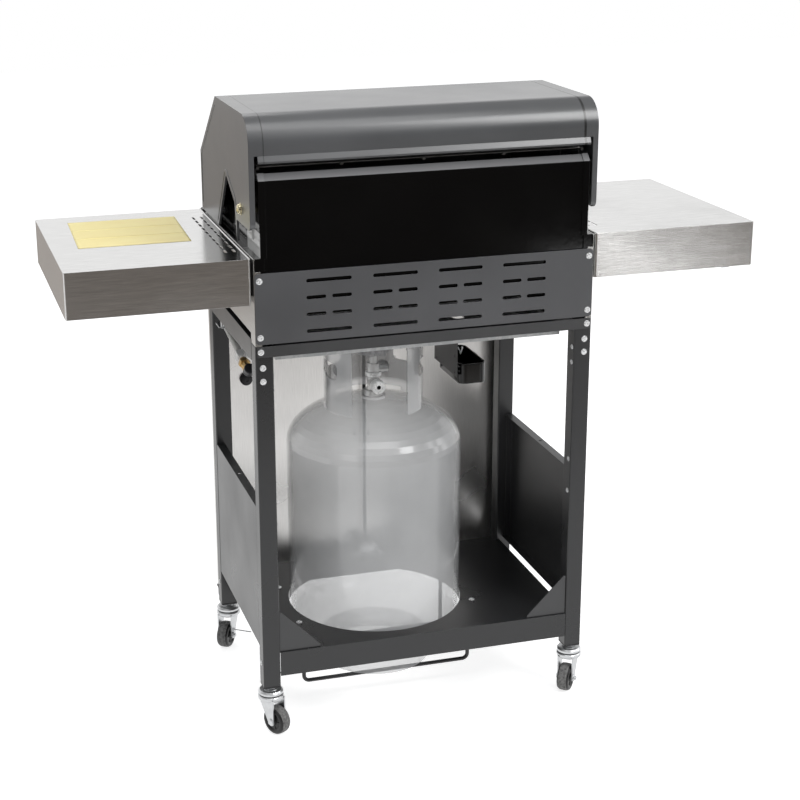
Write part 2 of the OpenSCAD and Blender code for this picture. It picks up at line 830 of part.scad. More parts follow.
// Angle brackets inside the shelves and spacers between them and the side walls, and the small hook
// tab at the left rear
module shelf_brackets() {
  arm = 90;
  top = deck_z - sheet - gap;
  low = deck_z - shelf_h + 12;
  color(graphite) {
    both_sides() for (y = [-half_d + 45, half_d - 47]) translate([0, y, 0]) {
      translate([wall_x + gap, 0, low]) cube([shelf_x - wall_x - 2 * gap, 30, top - 8 - low]);
      translate([shelf_x + sheet + gap, 0, low]) cube([2, 30, top - low]);
      translate([shelf_x + sheet + gap, 0, top - 2]) cube([arm, 30, 2]);
      translate([shelf_x + sheet + gap, 14, 0]) rotate([90, 0, 0]) linear_extrude(2)
        polygon([[0, low], [0, top], [arm - 2, top], [arm - 2, top - 8]]);
    }
    translate([-shelf_x - shelf_len + 42, shelf_back_y - 16, deck_z - shelf_h - 2]) {
      cube([14, 12, 2 - gap]);
      cube([14, 2, 2 + sheet * 2]);
    }
  }
}

// Lid

// Outline of the lid's end seen along X, moved inwards by t
module lid_outline(t) {
  z1 = lid_face_z - t * tan((90 - lid_slope) / 2);
  y1 = lid_slope_y + t * tan(lid_slope / 2);
  cy = lid_back_y - lid_bend_r;
  cz = lid_top - lid_bend_r;
  polygon([[lid_front_y + t, lid_z], [lid_front_y + t, z1], [y1, lid_top - t], [cy, lid_top - t],
    [cy, cz], [lid_back_y - t, cz], [lid_back_y - t, lid_z]]);
  translate([cy, cz]) circle(lid_bend_r - t);
}

// What the end cap's lower edge leaves open: the spit notch and the rounded lobe round the pivot
module lid_edge_cut() {
  lobe = 24;
  polygon([[notch_y - 74, lid_z - 1], [notch_y - 3, notch_z], [notch_y + 3, notch_z],
    [pivot_y - lobe - 22, pivot_z + 2], [pivot_y - lobe - 8, lid_z - 1]]);
  translate([pivot_y - lobe - 9, lid_z - 5]) square([lid_d, pivot_z - lobe - lid_z + 5]);
  difference() {
    translate([lid_back_y - 12, pivot_z - lobe - 1]) square([30, 13]);
    translate([lid_back_y - 12, pivot_z - lobe + 12]) circle(12);
  }
}

module lid_cap() {
  t = 3;
  difference() {
    union() {
      yz_plate(cap_x - cap_plate, cap_x) difference() {
        lid_outline(0);
        lid_edge_cut();
      }
      yz_plate(cap_in_x, cap_x - 1) difference() {
        lid_outline(0);
        lid_outline(t);
        translate([lid_slope_y, lid_z - 10]) square([lid_d, lip_z - lid_z + 10]);
      }
      yz_plate(cap_x - 9, cap_x - 1) difference() {
        lid_outline(0);
        lid_outline(t);
        lid_edge_cut();
        translate([lid_front_y - 1, lid_z - 10]) square([lid_d / 2, lid_h]);
      }
    }
    translate([cap_x - 20, pivot_y, pivot_z]) rotate([0, 90, 0])
      cylinder(h = 30, d = pivot_d + 2 * run_fit);
  }
}

module lid_cap_right() {
  color(graphite) lid_cap();
}

module lid_cap_left() {
  color(graphite) mirror([1, 0, 0]) lid_cap();
}

// Skin between the caps, with the flared lip along its lower edge at the back
module lid_skin() {
  x = cap_in_x - 0.2;
  lip_x = cap_x - cap_plate - 10.5;
  flare = 4;
  color(graphite) difference() {
    union() {
      yz_plate(-x, x) difference() {
        lid_outline(0);
        lid_outline(lid_t);
        translate([lid_slope_y, lid_z - 10]) square([lid_d, lip_z - lid_z + 10]);
      }
      folded_along_x([[lid_back_y, lip_z - gap], [lid_back_y + flare, lip_z - 9],
        [lid_back_y + flare, lip_z - 12]], -lid_t, -lip_x, lip_x);
      translate([-x, lid_back_y - lid_t, lip_z - 1.5]) cube([2 * x, lid_t, 2]);
    }
    translate([0, gauge_y(), gauge_z()]) rotate([lid_slope, 0, 0]) translate([0, 0, -8]) cylinder(h = 20, d = 8);
    for (s = [-1, 1]) rod_y(s * 205, lid_front_y - 5, lid_front_y + 5, handle_z(), 5);
  }
}

// Where the temperature gauge sits on the sloping front, and the height of the lid's handle
function gauge_y() = lid_front_y + lid_slope_d * 0.42;
function gauge_z() = lid_face_z + (lid_top - lid_face_z) * 0.42;
function handle_z() = lid_z + lid_face_h * 0.55;

module temperature_gauge() {
  color(zinc) translate([0, gauge_y(), gauge_z()]) rotate([lid_slope, 0, 0]) translate([0, 0, gap]) {
    rotate_extrude() polygon([[0, 0], [30, 0], [31, 3], [29, 8], [26, 8], [25.5, 6], [0, 6]]);
    translate([0, 0, -40]) cylinder(h = 41, d = 6);
    translate([0, 0, -lid_t - 4.6]) cylinder(h = 4, d = 14, $fn = 6);
  }
}

module lid_handle() {
  color(steel) difference() {
    rod_x(-250, 250, lid_front_y - 42, handle_z(), 22);
    rod_x(-248, 248, lid_front_y - 42, handle_z(), 19);
  }
}

// Posts that hold the handle, each with a collar round the tube
module handle_posts() {
  y = lid_front_y - 42;
  color(black) for (s = [-1, 1]) translate([s * 205, 0, 0]) difference() {
    union() {
      rod_y(0, y + 8, lid_front_y - gap, handle_z(), 20);
      rod_y(0, lid_front_y - 6, lid_front_y - gap, handle_z(), 32);
      rod_x(-13, 13, y, handle_z(), 30);
    }
    rod_x(-14, 14, y, handle_z(), 22 + 2 * run_fit);
  }
}

module lid_pivot_bolts() {
  nut_x = box_half - box_t - gap;
  color(brass) both_sides() {
    rod_x(nut_x - 5, cap_x + gap + 1, pivot_y, pivot_z, pivot_d);
    rod_x(cap_x + gap, cap_x + gap + 3.5, pivot_y, pivot_z, 15);
    rod_x(box_half + gap, cap_x - cap_plate - gap, pivot_y, pivot_z, 14);
    translate([nut_x - 6, pivot_y, pivot_z]) rotate([0, 90, 0]) cylinder(h = 6, d = 14, $fn = 6);
  }
}

// Doors: a pan of folded sheet, open to the inside, hung on two pins
module door() {
  y0 = door_front_y;
  w = door_out_x - door_in_x;
  h = door_top - door_z;
  color(steel) difference() {
    translate([door_in_x, y0, door_z]) cube([w, door_t, h]);
    translate([door_in_x + sheet, y0 + sheet, door_z + sheet])
      cube([w - 2 * sheet, door_t, h - 2 * sheet]);
    for (z = [door_z - 1, door_top - 5])
      translate([hinge_x, hinge_y, z]) cylinder(h = 6, d = pin_d + 2 * run_fit);
    for (s = [-1, 1])
      rod_y(door_mid() + s * handle_span / 2, y0 - 3, y0 + 3, shelf_z + handle_up, 5);
    for (z = [shelf_z + 20, shelf_z + 235]) rod_y(door_in_x + 12, y0 - 3, y0 + 3, z, 4);
  }
}

function door_mid() = (door_in_x + door_out_x) / 2 - 12.5;

module door_right() {
  door();
}

module door_left() {
  mirror([1, 0, 0]) door();
}

// Bar handle on two studs, with a round cap over each fixing inside the door
module door_handle() {
  z = shelf_z + handle_up;
  y = door_front_y - 32;
  in_y = door_front_y + sheet + gap;
  color(steel) {
    rod_x(door_mid() - handle_span / 2 - 18, door_mid() + handle_span / 2 + 18, y, z, 14);
    for (s = [-1, 1]) {
      x = door_mid() + s * handle_span / 2;
      rod_y(x, y, door_front_y - gap, z, 11);
      rod_y(x, door_front_y - 1, in_y + 1, z, 4.4);
      rod_y(x, in_y, in_y + 9, z, 23);
    }
  }
}

module door_handle_right() {
  door_handle();
}

module door_handle_left() {
  mirror([1, 0, 0]) door_handle();
}

// Grease tray and cup

module grease_tray() {
  x = tray_half;
  y0 = tray_front_y;
  y1 = tray_back_y;
  color(zinc) difference() {
    union() {
      translate([-x, y0, tray_bottom]) cube([2 * x, y1 - y0, tray_h]);
      translate([-x - tray_flange, y0, tray_top - sheet])
        cube([2 * x + 2 * tray_flange, y1 - y0, sheet]);
    }
    translate([-x + sheet, y0 + sheet, tray_bottom + sheet])
      cube([2 * x - 2 * sheet, y1 - y0 - 2 * sheet, tray_h]);
    translate([cup_x - sheet - cup_w / 2, 0, tray_bottom - 1]) cylinder(h = 5, d = 22);
  }
}

// Bracket under the tray: the cup's rim slides in between its ledge and its two hook tabs
module cup_bracket() {
  y1 = cup_back_y + 2;
  y0 = y1 - cup_len - 4;
  low = cup_rim_z - 22;
  color(graphite) difference() {
    union() {
      translate([cup_x, y0, low]) cube([sheet, y1 - y0, tray_bottom - gap - low]);
      translate([cup_x, y0, tray_bottom - gap - sheet]) cube([14, y1 - y0, sheet]);
      translate([cup_x - 4.5, y0, cup_rim_z - 2 - gap - sheet]) cube([4.6, y1 - y0, sheet]);
      for (y = hook_y) translate([cup_x - 4.5, y - 5, cup_rim_z + gap]) cube([4.6, 10, 1.5]);
    }
    for (p = [[y0 + 14, low + 6], [y1 - 12, low + 6], [y1 - 12, low + 36]])
      translate([cup_x - 3, p[0], p[1]]) rotate([0, 90, 0]) cylinder(h = 6, d = 4);
  }
}

module grease_cup() {
  wall = 1.5;
  x1 = cup_x - 4.5 - gap;
  y0 = cup_back_y - cup_len;
  z0 = cup_rim_z - cup_h;
  color(black) difference() {
    union() {
      translate([x1 - cup_w, y0, z0]) rounded_box(cup_w, cup_len, cup_h, 13);
      translate([x1 - 2, y0 + 10, cup_rim_z - 2]) cube([2 + 4.5, cup_len - 20, 2]);
    }
    translate([x1 - cup_w + wall, y0 + wall, z0 + wall])
      rounded_box(cup_w - 2 * wall, cup_len - 2 * wall, cup_h, 13 - wall);
  }
}

// Casters

module caster_sockets() {
  inner = leg_w - 2 * leg_wall - 2 * gap;
  color(black) for (sx = [-1, 1], sy = [-1, 1]) translate([sx * leg_x, sy * leg_y, 0]) difference() {
    union() {
      translate([-inner / 2, -inner / 2, caster_h - 3]) rounded_box(inner, inner, 28, 1);
      translate([-leg_w / 2, -leg_w / 2, caster_h - 3 - gap]) rounded_box(leg_w, leg_w, 3, 2.5);
    }
    translate([0, 0, caster_h - 10]) cylinder(h = 40, d = 11 + 2 * run_fit);
  }
}

// Fork seen with its axle along Y and the wheel trailing towards +X: stem, the two rings of its
// raceway, cheeks and axle
module fork_body() {
  r = wheel_d / 2;
  in_w = wheel_w / 2 + fork_gap;
  cheek = 2.5;
  top = raceway_z + 18;
  color(zinc) {
    cylinder_at(raceway_z, caster_h + 18, 11);
    cylinder_at(raceway_z, top + 1, 24);
    translate([0, 0, top]) cylinder(h = caster_h - 4 - top, d = 19, $fn = 6);
    translate([0, 0, raceway_z]) rotate_extrude()
      polygon([[0, 0], [20, 0], [22, 2], [22, 7], [20.5, 8.5], [0, 8.5]]);
    translate([0, 0, raceway_z + 10]) rotate_extrude()
      polygon([[0, 0], [20, 0], [21.5, 1.5], [21.5, 5], [19, 8], [0, 8]]);
    for (s = [-1, 1]) translate([0, s > 0 ? in_w + cheek : -in_w, 0]) rotate([90, 0, 0]) linear_extrude(cheek) {
      polygon([[-16, raceway_z + 4], [20, raceway_z + 4], [trail + 6.5, r - 1], [trail - 6.5, r - 3]]);
      translate([trail, r]) circle(7);
    }
    translate([trail, in_w + cheek + 5, r]) rotate([90, 0, 0]) cylinder(h = 2 * in_w + 2 * cheek + 7, d = axle_d);
    translate([trail, -in_w - cheek, r]) rotate([90, 0, 0]) cylinder(h = 2, d = 10);
  }
}

// Brake lever: an eye that turns on the axle's end, and a bent wire to press with the toe
module brake_lever() {
  r = wheel_d / 2;
  y = wheel_w / 2 + fork_gap + 2.5 + gap;
  color(zinc) {
    difference() {
      union() {
        translate([trail, y + 2.5, r]) rotate([90, 0, 0]) cylinder(h = 2.5, d = 13);
        translate([trail - 4, y, r + 3]) cube([6, 2.5, 10]);
      }
      translate([trail, y + 4, r]) rotate([90, 0, 0]) cylinder(h = 6, d = axle_d + 2 * run_fit);
    }
    wire([trail - 1, y + 1.25, r + 11], [trail - 12, y + 32, r + 5], 2.4);
  }
}

// Wheel with a crowned rubber tread and a bore for the axle
module wheel_body() {
  r = wheel_d / 2;
  w = wheel_w / 2;
  color([0.16, 0.16, 0.16]) translate([trail, 0, r]) rotate([90, 0, 0]) rotate_extrude()
    polygon(concat([[axle_d / 2 + run_fit, -w - 0.6], [7, -w - 0.6], [8, -w + 2], [r - 9, -w + 2], [r - 7, -w]],
      tread, [[r - 7, w], [r - 9, w - 2], [8, w - 2], [7, w + 0.6], [axle_d / 2 + run_fit, w + 0.6]]));
}

module brake_lever_right() {
  at_leg(1, -1, swing_fr) brake_lever();
}

module brake_lever_left() {
  at_leg(-1, -1, swing_fl) brake_lever();
}

module at_leg(sx, sy, swing) {
  translate([sx * leg_x, sy * leg_y, 0]) rotate([0, 0, swing]) children();
}

module fork_front_right() {
  at_leg(1, -1, swing_fr) fork_body();
}

module fork_front_left() {
  at_leg(-1, -1, swing_fl) fork_body();
}

module fork_rear_right() {
  at_leg(1, 1, swing_rr) fork_body();
}

module fork_rear_left() {
  at_leg(-1, 1, swing_rl) fork_body();
}

module wheel_front_right() {
  at_leg(1, -1, swing_fr) wheel_body();
}

module wheel_front_left() {
  at_leg(-1, -1, swing_fl) wheel_body();
}

module wheel_rear_right() {
  at_leg(1, 1, swing_rr) wheel_body();
}

module wheel_rear_left() {
  at_leg(-1, 1, swing_rl) wheel_body();
}

// Gas hose and its end fitting

// Rings of a tube swept along a route, each square to the route there
function run(path, i) =
  unit(path[min(i + 1, len(path) - 1)] - path[max(i - 1, 0)]);
function ring(path, i, r, n) =
  let (
    d = run(path, i),
    side = unit(cross(d, abs(d[2]) > 0.9 ? [1, 0, 0] : [0, 0, 1])),
    up = cross(side, d)
  )
  [for (k = [0:n - 1]) path[i] + r * (cos(360 * k / n) * side + sin(360 * k / n) * up)];

module tube(path, d, n) {
  rings = len(path);
  points = [for (i = [0:rings - 1]) each ring(path, i, d / 2, n)];
  sides = [for (i = [0:rings - 2], k = [0:n - 1])
    let (a = i * n + k, b = i * n + (k + 1) % n) each [[a, b, b + n], [a, b + n, a + n]]];
  ends = [for (k = [1:n - 2]) each [[0, k + 1, k], [(rings - 1) * n, (rings - 1) * n + k, (rings - 1) * n + k + 1]]];
  polyhedron(points, concat(sides, ends));
}

module gas_hose() {
  color([0.66, 0.66, 0.64]) tube(hose_route, hose_d, 10);
}

// Plated nut, brass body and elbow, and the black cap that keeps its mouth clean
module hose_fitting() {
  fall = -asin(run(hose_route, len(hose_route) - 1)[2]);
  color(brass) translate(hose_end) rotate([-90 - fall, 0, 0]) translate([0, 0, gap]) {
    cylinder(h = 22, d = 20, $fn = 6);
    translate([0, 0, 21]) cylinder(h = 30, d = 13);
    translate([0, 0, 30]) cylinder(h = 10, d = 18, $fn = 6);
    translate([0, 0, 50]) cylinder(h = 20, d1 = 16, d2 = 11);
    translate([0, 0, 66]) sphere(d = 12);
  }
  color(black) translate(hose_end) rotate([-90 - fall, 0, 0]) translate([0, 0, 66])
    rotate([50, 0, 0]) cylinder(h = 16, d = 19);
}

// Strap clip under the side rail, bent round the hose
module hose_clip() {
  p = hose_route[clip_at];
  d = run(hose_route, clip_at);
  r = hose_d / 2 + gap;
  strip_x = half_w - 5.5;
  stud_z = (rail_top - rail_h + ledge_z) / 2;
  tab_x = p[0] + r + 0.5;
  tab_w = half_w - tab_x;
  color(zinc) {
    translate(p) rotate([-90 + asin(d[2]), 0, 0]) difference() {
      translate([0, 0, -6]) cylinder(h = 12, r = r + 1.5);
      translate([0, 0, -7]) cylinder(h = 14, r = r);
    }
    translate([p[0] + r + 0.4, p[1] - 6, p[2]]) cube([strip_x + 1.5 - p[0] - r - 0.4, 12, 1.5]);
    translate([strip_x, p[1] - 6, p[2]]) cube([1.5, 12, ledge_z - 1.5 - p[2]]);
    rod_x(strip_x, half_w - sheet - gap, p[1], stud_z, 4);
    translate([tab_x, p[1] - 34, p[2]]) linear_extrude(1.5) {
      translate([tab_w / 2, tab_w / 2]) circle(tab_w / 2);
      translate([0, tab_w / 2]) square([tab_w, 30]);
    }
  }
}

// Screws

module cart_screws() {
  vent = [for (s = [-1, 1], z = [vent_z + 11.5, vent_z + vent_h - 12]) [s * (half_w - 9), z]];
  rail = [for (s = [-1, 1]) [s * (half_w - 9), back_rail_top - back_rail_h / 2]];
  post = [for (s = [-1, 1], z = [18, 41]) [s * (half_w - 12), back_rail_top - back_rail_h - z]];
  color(zinc) {
    screws_back(concat(vent, rail), half_d + sheet);
    screws_back(post, half_d);
    both_sides() screws_out([for (y = [-leg_y, leg_y]) [y, shelf_z - apron_h / 2]], half_w);
    for (s = [-1, 1], y = [-76.5, 76.5])
      translate([well_x + s * 162, well_y + y, shelf_z]) screw_head_up();
    for (s = [-1, 1]) translate([s * 25, shelf_front_y + 12, shelf_z + 2]) screw_head_up(7);
    for (s = [-1, 1], z = [shelf_z + 233, shelf_z + 292])
      translate([s * inner_x, half_d - 9, z]) rotate([0, -s * 90, 0]) screw_head_up(9);
    for (s = [-1, 1], z = [rail_top - 84, rail_top - 57])
      translate([s * inner_x, half_d - 9, z]) rotate([0, -s * 90, 0]) screw_head_up(9);
  }
}

// Gas cylinder

module gas_cylinder() {
  r = bottle_r;
  t = 3;
  base = bottle_z + 26;
  color(bottle_grey) translate([well_x, well_y, 0]) {
    difference() {
      union() {
        cylinder_at(base + 60, shoulder_z, 2 * r);
        dome(r, shoulder_z, dome_z - shoulder_z);
        mirror_z(base + 60) dome(r, base + 60, 60);
      }
      cylinder_at(base + 60 - 1, shoulder_z + 1, 2 * r - 2 * t);
      dome(r - t, shoulder_z, dome_z - shoulder_z - t);
      mirror_z(base + 60) dome(r - t, base + 60, 60 - t);
    }
    difference() {
      cylinder_at(bottle_z, base + 14, 2 * ring_r);
      cylinder_at(bottle_z - 1, base + 20, 2 * ring_r - 2 * t);
      mirror_z(base + 60) dome(r - t / 2, base + 60, 60 - t / 2);
    }
    collar();
    cylinder_at(dome_z - t, dome_z + 4, 44);
  }
}

// Half ellipsoid standing on z, as a revolved quarter
module dome(r, z, h) {
  translate([0, 0, z]) rotate_extrude()
    polygon(concat([[0, 0]], [for (a = [0:7.5:90]) [r * cos(a), h * sin(a)]]));
}

module mirror_z(z) {
  translate([0, 0, 2 * z]) mirror([0, 0, 1]) children();
}

// Collar: a rolled plate open towards the grill's back, with a long slot beside each end post, two
// grips, a raised edge over the dome on the far side and a rolled top edge
module collar() {
  z0 = dome_z - 52;
  h = bottle_top - z0;
  open_half = 34;
  difference() {
    union() {
      rotate([0, 0, collar_mid + open_half]) rotate_extrude(angle = 360 - 2 * open_half)
        translate([collar_r - collar_t, z0]) square([collar_t, h]);
      rotate([0, 0, collar_mid + open_half]) rotate_extrude(angle = 360 - 2 * open_half)
        translate([collar_r - 1.5, bottle_top - 3]) circle(3);
    }
    dome(bottle_r - 1, shoulder_z, dome_z - shoulder_z - 1);
    for (s = [-1, 1]) {
      turned(s * 68) hand_hole(42, 30, bottle_top - 46);
      turned(s * 88) hand_hole(36, 20, bottle_top - 46);
      turned(s * 132) hand_hole(44, 36, bottle_top - 44);
    }
    turned(180) translate([0, -60, z0 - 1]) cube([collar_r + 20, 120, dome_z - 4 - z0]);
  }
}

// A direction on the collar, counted from the middle of its opening
module turned(a) {
  rotate([0, 0, collar_mid + a]) children();
}

// A hole through the collar with round corners: its width, height and middle
module hand_hole(w, h, z) {
  translate([0, -w / 2, z - h / 2]) rotate([90, 0, 90]) linear_extrude(collar_r + 20) rounded_rect(w, h, 9);
}

module cylinder_valve() {
  color(brass) translate([well_x, well_y, 0]) difference() {
    union() {
      cylinder_at(dome_z + 4 + gap, dome_z + 14, 34);
      cylinder_at(dome_z + 4 + gap, dome_z + 62, 22);
      cylinder_at(dome_z + 40, dome_z + 78, 13);
      cylinder_at(dome_z + 70, dome_z + 92, stem_d);
      translate([0, 34, dome_z + 26]) rotate([90, 0, 0]) cylinder(h = 34, d = 24);
      translate([-26, 0, dome_z + 50]) rotate([0, 90, 0]) cylinder(h = 26, d = 14);
    }
    translate([0, 35, dome_z + 26]) rotate([90, 0, 0]) cylinder(h = 16, d = 15);
  }
}

// Handwheel with six lobes, on the valve's stem
module cylinder_handwheel() {
  z = dome_z + 80;
  color(bottle_grey) translate([well_x, well_y, 0]) difference() {
    union() {
      cylinder_at(z, z + 12, 44);
      for (a = [0:60:300]) rotate([0, 0, a]) translate([20, 0, z]) cylinder(h = 12, d = 16);
    }
    translate([0, 0, z - 1]) cylinder(h = 20, d = stem_d + 2 * run_fit);
  }
}

place() bottom_shelf();
place() legs();
place() side_panels();
place() side_rails();
place() rear_rail();
place() front_header();
place() rear_vent_panel();
place() side_walls();
place() corner_gussets();
place() cylinder_cradle();
place() door_catch();
place() firebox();
place() burners();
place() flame_tamers();
place() grate_right();
place() grate_left();
place() warming_rack();
place() gas_manifold();
place() control_panel();
place() panel_bezels();
place() side_shelf_right();
place() side_shelf_left();
place() shelf_brackets();
place() lid_pivot_bolts();
place() gas_hose();
place() hose_fitting();
place() hose_clip();
place() cart_screws();
place() caster_sockets();
place() door_hinges();
place() lid_skin();
place() lid_cap_right();
place() lid_cap_left();
place() lid_handle();
place() handle_posts();
place() temperature_gauge();
place() door_right();
place() door_left();
place() door_handle_right();
place() door_handle_left();
place() knob_right();
place() knob_centre();
place() knob_left();
place() igniter_button();
place() grease_tray();
place() cup_bracket();
place() grease_cup();
place() fork_front_right();
place() fork_front_left();
place() fork_rear_right();
place() fork_rear_left();
place() wheel_front_right();
place() wheel_front_left();
place() wheel_rear_right();
place() wheel_rear_left();
place() brake_lever_right();
place() brake_lever_left();
place() gas_cylinder();
place() cylinder_valve();
place() cylinder_handwheel();
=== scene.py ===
# %% [markdown]
# # A gas grill on a wheeled cart
# The solids of the grill come from its construction model. This lesson dresses them: paint, brushed
# steel, galvanised sheet, rubber and brass, and the small pieces that a construction model leaves
# plain, such as screw heads, a smooth gas hose and the treads of the wheels.
# The user stands at -Y, the camera looks at the grill's back.

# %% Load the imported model
import json
import math
import bmesh
import bpy
from mathutils import Matrix, Vector

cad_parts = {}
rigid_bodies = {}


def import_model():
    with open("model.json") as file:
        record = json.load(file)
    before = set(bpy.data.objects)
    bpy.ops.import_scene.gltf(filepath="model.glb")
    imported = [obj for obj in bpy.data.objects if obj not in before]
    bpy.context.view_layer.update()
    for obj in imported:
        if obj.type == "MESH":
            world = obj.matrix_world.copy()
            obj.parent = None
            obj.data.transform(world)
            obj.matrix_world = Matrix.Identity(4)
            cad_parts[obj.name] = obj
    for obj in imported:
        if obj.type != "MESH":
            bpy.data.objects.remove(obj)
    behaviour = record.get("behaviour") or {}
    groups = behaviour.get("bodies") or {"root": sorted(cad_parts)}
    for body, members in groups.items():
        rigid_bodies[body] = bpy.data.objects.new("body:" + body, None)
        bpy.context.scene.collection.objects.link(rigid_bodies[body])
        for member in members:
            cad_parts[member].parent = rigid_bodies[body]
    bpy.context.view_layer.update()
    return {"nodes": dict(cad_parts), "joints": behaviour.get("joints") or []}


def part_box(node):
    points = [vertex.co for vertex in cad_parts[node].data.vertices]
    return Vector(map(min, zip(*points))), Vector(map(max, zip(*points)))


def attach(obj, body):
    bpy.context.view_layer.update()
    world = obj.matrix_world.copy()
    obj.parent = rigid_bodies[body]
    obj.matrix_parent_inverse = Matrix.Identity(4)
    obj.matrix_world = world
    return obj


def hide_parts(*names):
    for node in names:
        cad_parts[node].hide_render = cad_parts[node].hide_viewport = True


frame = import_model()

NODES = frame["nodes"]
JOINTS = {joint["name"]: joint for joint in frame["joints"]}

# %% [markdown]
# ## Units and the cart's middle
# Blender counts in metres, but a grill is drawn in millimetres, so the places of pieces are written in
# millimetres and turned into metres by one helper. The origin lies a little in front of the cart's
# middle. That middle is measured from the legs, and every place is counted from it.

# %% Millimetres from the cart's middle
MM = 0.001
SIDES = {"right": 1, "left": -1}
legs_low, legs_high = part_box("legs")
cart_y = (legs_low.y + legs_high.y) / 2


def at(x, y, z):
    return Vector((x * MM, y * MM + cart_y, z * MM))


print("the cart's middle lies at y =", round(cart_y, 4))

# %% [markdown]
# ## Camera
# The photograph was taken from behind the grill, a little to its right side and from above head
# height. A camera could be turned by eye until the picture fits. Here its place and its three angles
# were found by matching corners of the cart, so that the render lies over the photograph.

# %% Camera behind the grill
FOCAL_PIXELS = 1680.9
IMAGE_SIDE = 800
SENSOR = 36.0
SHIFT_PIXELS = (60, -30)
CAMERA_PLACE = (853.7, 2717.1, 1466.6)
CAMERA_ANGLES = (-105.535, -17.348, -0.617)


def look_matrix(place, yaw, pitch, roll):
    yaw, pitch, roll = (math.radians(a) for a in (yaw, pitch, roll))
    ahead = Vector((math.cos(pitch) * math.cos(yaw), math.cos(pitch) * math.sin(yaw), math.sin(pitch)))
    right = ahead.cross(Vector((0, 0, 1))).normalized()
    up = right.cross(ahead)
    turned_right = math.cos(roll) * right + math.sin(roll) * up
    turned_up = -math.sin(roll) * right + math.cos(roll) * up
    turn = Matrix((turned_right, turned_up, -ahead)).transposed()
    return Matrix.Translation(place) @ turn.to_4x4()


camera_data = bpy.data.cameras.new("photo_camera")
camera_data.sensor_width = SENSOR
camera_data.lens = FOCAL_PIXELS / IMAGE_SIDE * SENSOR
camera_data.shift_x = SHIFT_PIXELS[0] / IMAGE_SIDE
camera_data.shift_y = SHIFT_PIXELS[1] / IMAGE_SIDE
camera = bpy.data.objects.new("photo_camera", camera_data)
bpy.context.scene.collection.objects.link(camera)
camera.matrix_world = look_matrix(at(*CAMERA_PLACE), *CAMERA_ANGLES)
bpy.context.scene.camera = camera
print("camera lens:", round(camera_data.lens, 1), "mm")

# %% [markdown]
# ## Helpers for node trees
# The background, the floor and every finish are node trees. They could be wired one node and one link
# at a time. These helpers make a node and feed it in one line, so that a tree reads like a formula:
# each value is either a plain number or the socket that the number comes from.

# %% Make a node and feed its sockets
def feed(tree, socket, value):
    if isinstance(value, bpy.types.NodeSocket):
        tree.links.new(value, socket)
    elif socket.type == "RGBA":
        socket.default_value = (*value, 1)
    else:
        socket.default_value = value


def add_node(tree, kind, *values, **named):
    node = tree.nodes.new("ShaderNode" + kind)
    for socket, value in zip(node.inputs, values):
        feed(tree, socket, value)
    for label, value in named.items():
        feed(tree, node.inputs[label.replace("_", " ")], value)
    return node


# %% Sums with numbers and places
def arithmetic(tree, operation, *values, kind="Math", result="Value"):
    node = add_node(tree, kind)
    node.operation = operation
    for socket, value in zip(node.inputs, values):
        feed(tree, socket, value)
    return node.outputs[result]


def vector_math(tree, operation, *values):
    return arithmetic(tree, operation, *values, kind="VectorMath", result="Vector")


# %% The place of a point on the surface, whole or split into its three axes
def object_place(tree):
    return add_node(tree, "TexCoord").outputs["Object"]


def object_axes(tree):
    return add_node(tree, "SeparateXYZ", object_place(tree)).outputs


# %% Turn one span of values into another, and mix two colours
def span(tree, value, low, high, start=0.3, end=0.7, smooth=False):
    node = add_node(tree, "MapRange", value, start, end, low, high)
    node.interpolation_type = "SMOOTHSTEP" if smooth else "LINEAR"
    return node.outputs[0]


def fade(tree, value, start, end, low, high):
    return span(tree, value, low, high, start, end, smooth=True)


def blend(tree, factor, first, second):
    node = tree.nodes.new("ShaderNodeMix")
    node.data_type = "RGBA"
    for label, value in (("Factor", factor), ("A", first), ("B", second)):
        feed(tree, node.inputs[label], value)
    return node.outputs["Result"]


def grey(level):
    return (level, level, level)


# %% [markdown]
# ## Light and background
# In the photograph the steel and the paint mirror a studio: a bright wall beyond the grill, a dim
# room on the photographer's side, and a few soft lamps. Walls could be built for this, but the world
# does it without any. It lights the grill evenly, is white for the camera, and shows a bright far side
# and a dim near side to all that mirrors it, so the enamel stays black and the lid's top shines.

# %% World
FILL_COLOR, FILL_STRENGTH = (0.97, 0.985, 1.0), 0.42
FAR_WALL, NEAR_WALL = 1.0, 0.13
CEILING_LOW, CEILING_HIGH = 0.3, 0.5
WALL_EDGE, CEILING_EDGE, CEILING_SPAN = (-0.35, 0.2), (0.3, 0.6), (0.55, 0.95)
scene = bpy.context.scene
scene.view_settings.view_transform = "Standard"
world = bpy.data.worlds.new("studio")
scene.world = world
world.use_nodes = True
sky = world.node_tree
sky.nodes.clear()
ray = add_node(sky, "LightPath").outputs
seen = arithmetic(sky, "MAXIMUM", ray["Is Camera Ray"], ray["Is Transmission Ray"])
aim = add_node(sky, "SeparateXYZ", add_node(sky, "TexCoord").outputs["Generated"]).outputs
sides = fade(sky, aim["Y"], *WALL_EDGE, FAR_WALL, NEAR_WALL)
upward = fade(sky, aim["Z"], *CEILING_SPAN, CEILING_LOW, CEILING_HIGH)
ceiling = fade(sky, aim["Z"], *CEILING_EDGE, 0.0, 1.0)
wall_tone = add_node(sky, "Mix", Factor=ceiling, A=sides, B=upward).outputs["Result"]
fill = add_node(sky, "Background", FILL_COLOR, FILL_STRENGTH).outputs[0]
walls = add_node(sky, "Background", grey(1), wall_tone).outputs[0]
white = add_node(sky, "Background", grey(1), 1.0).outputs[0]
mirrored = add_node(sky, "MixShader", ray["Is Glossy Ray"], fill, walls).outputs[0]
shown = add_node(sky, "MixShader", seen, mirrored, white).outputs[0]
add_node(sky, "OutputWorld", shown)
print("world shaders:", [n.name for n in sky.nodes if n.type == "BACKGROUND"])

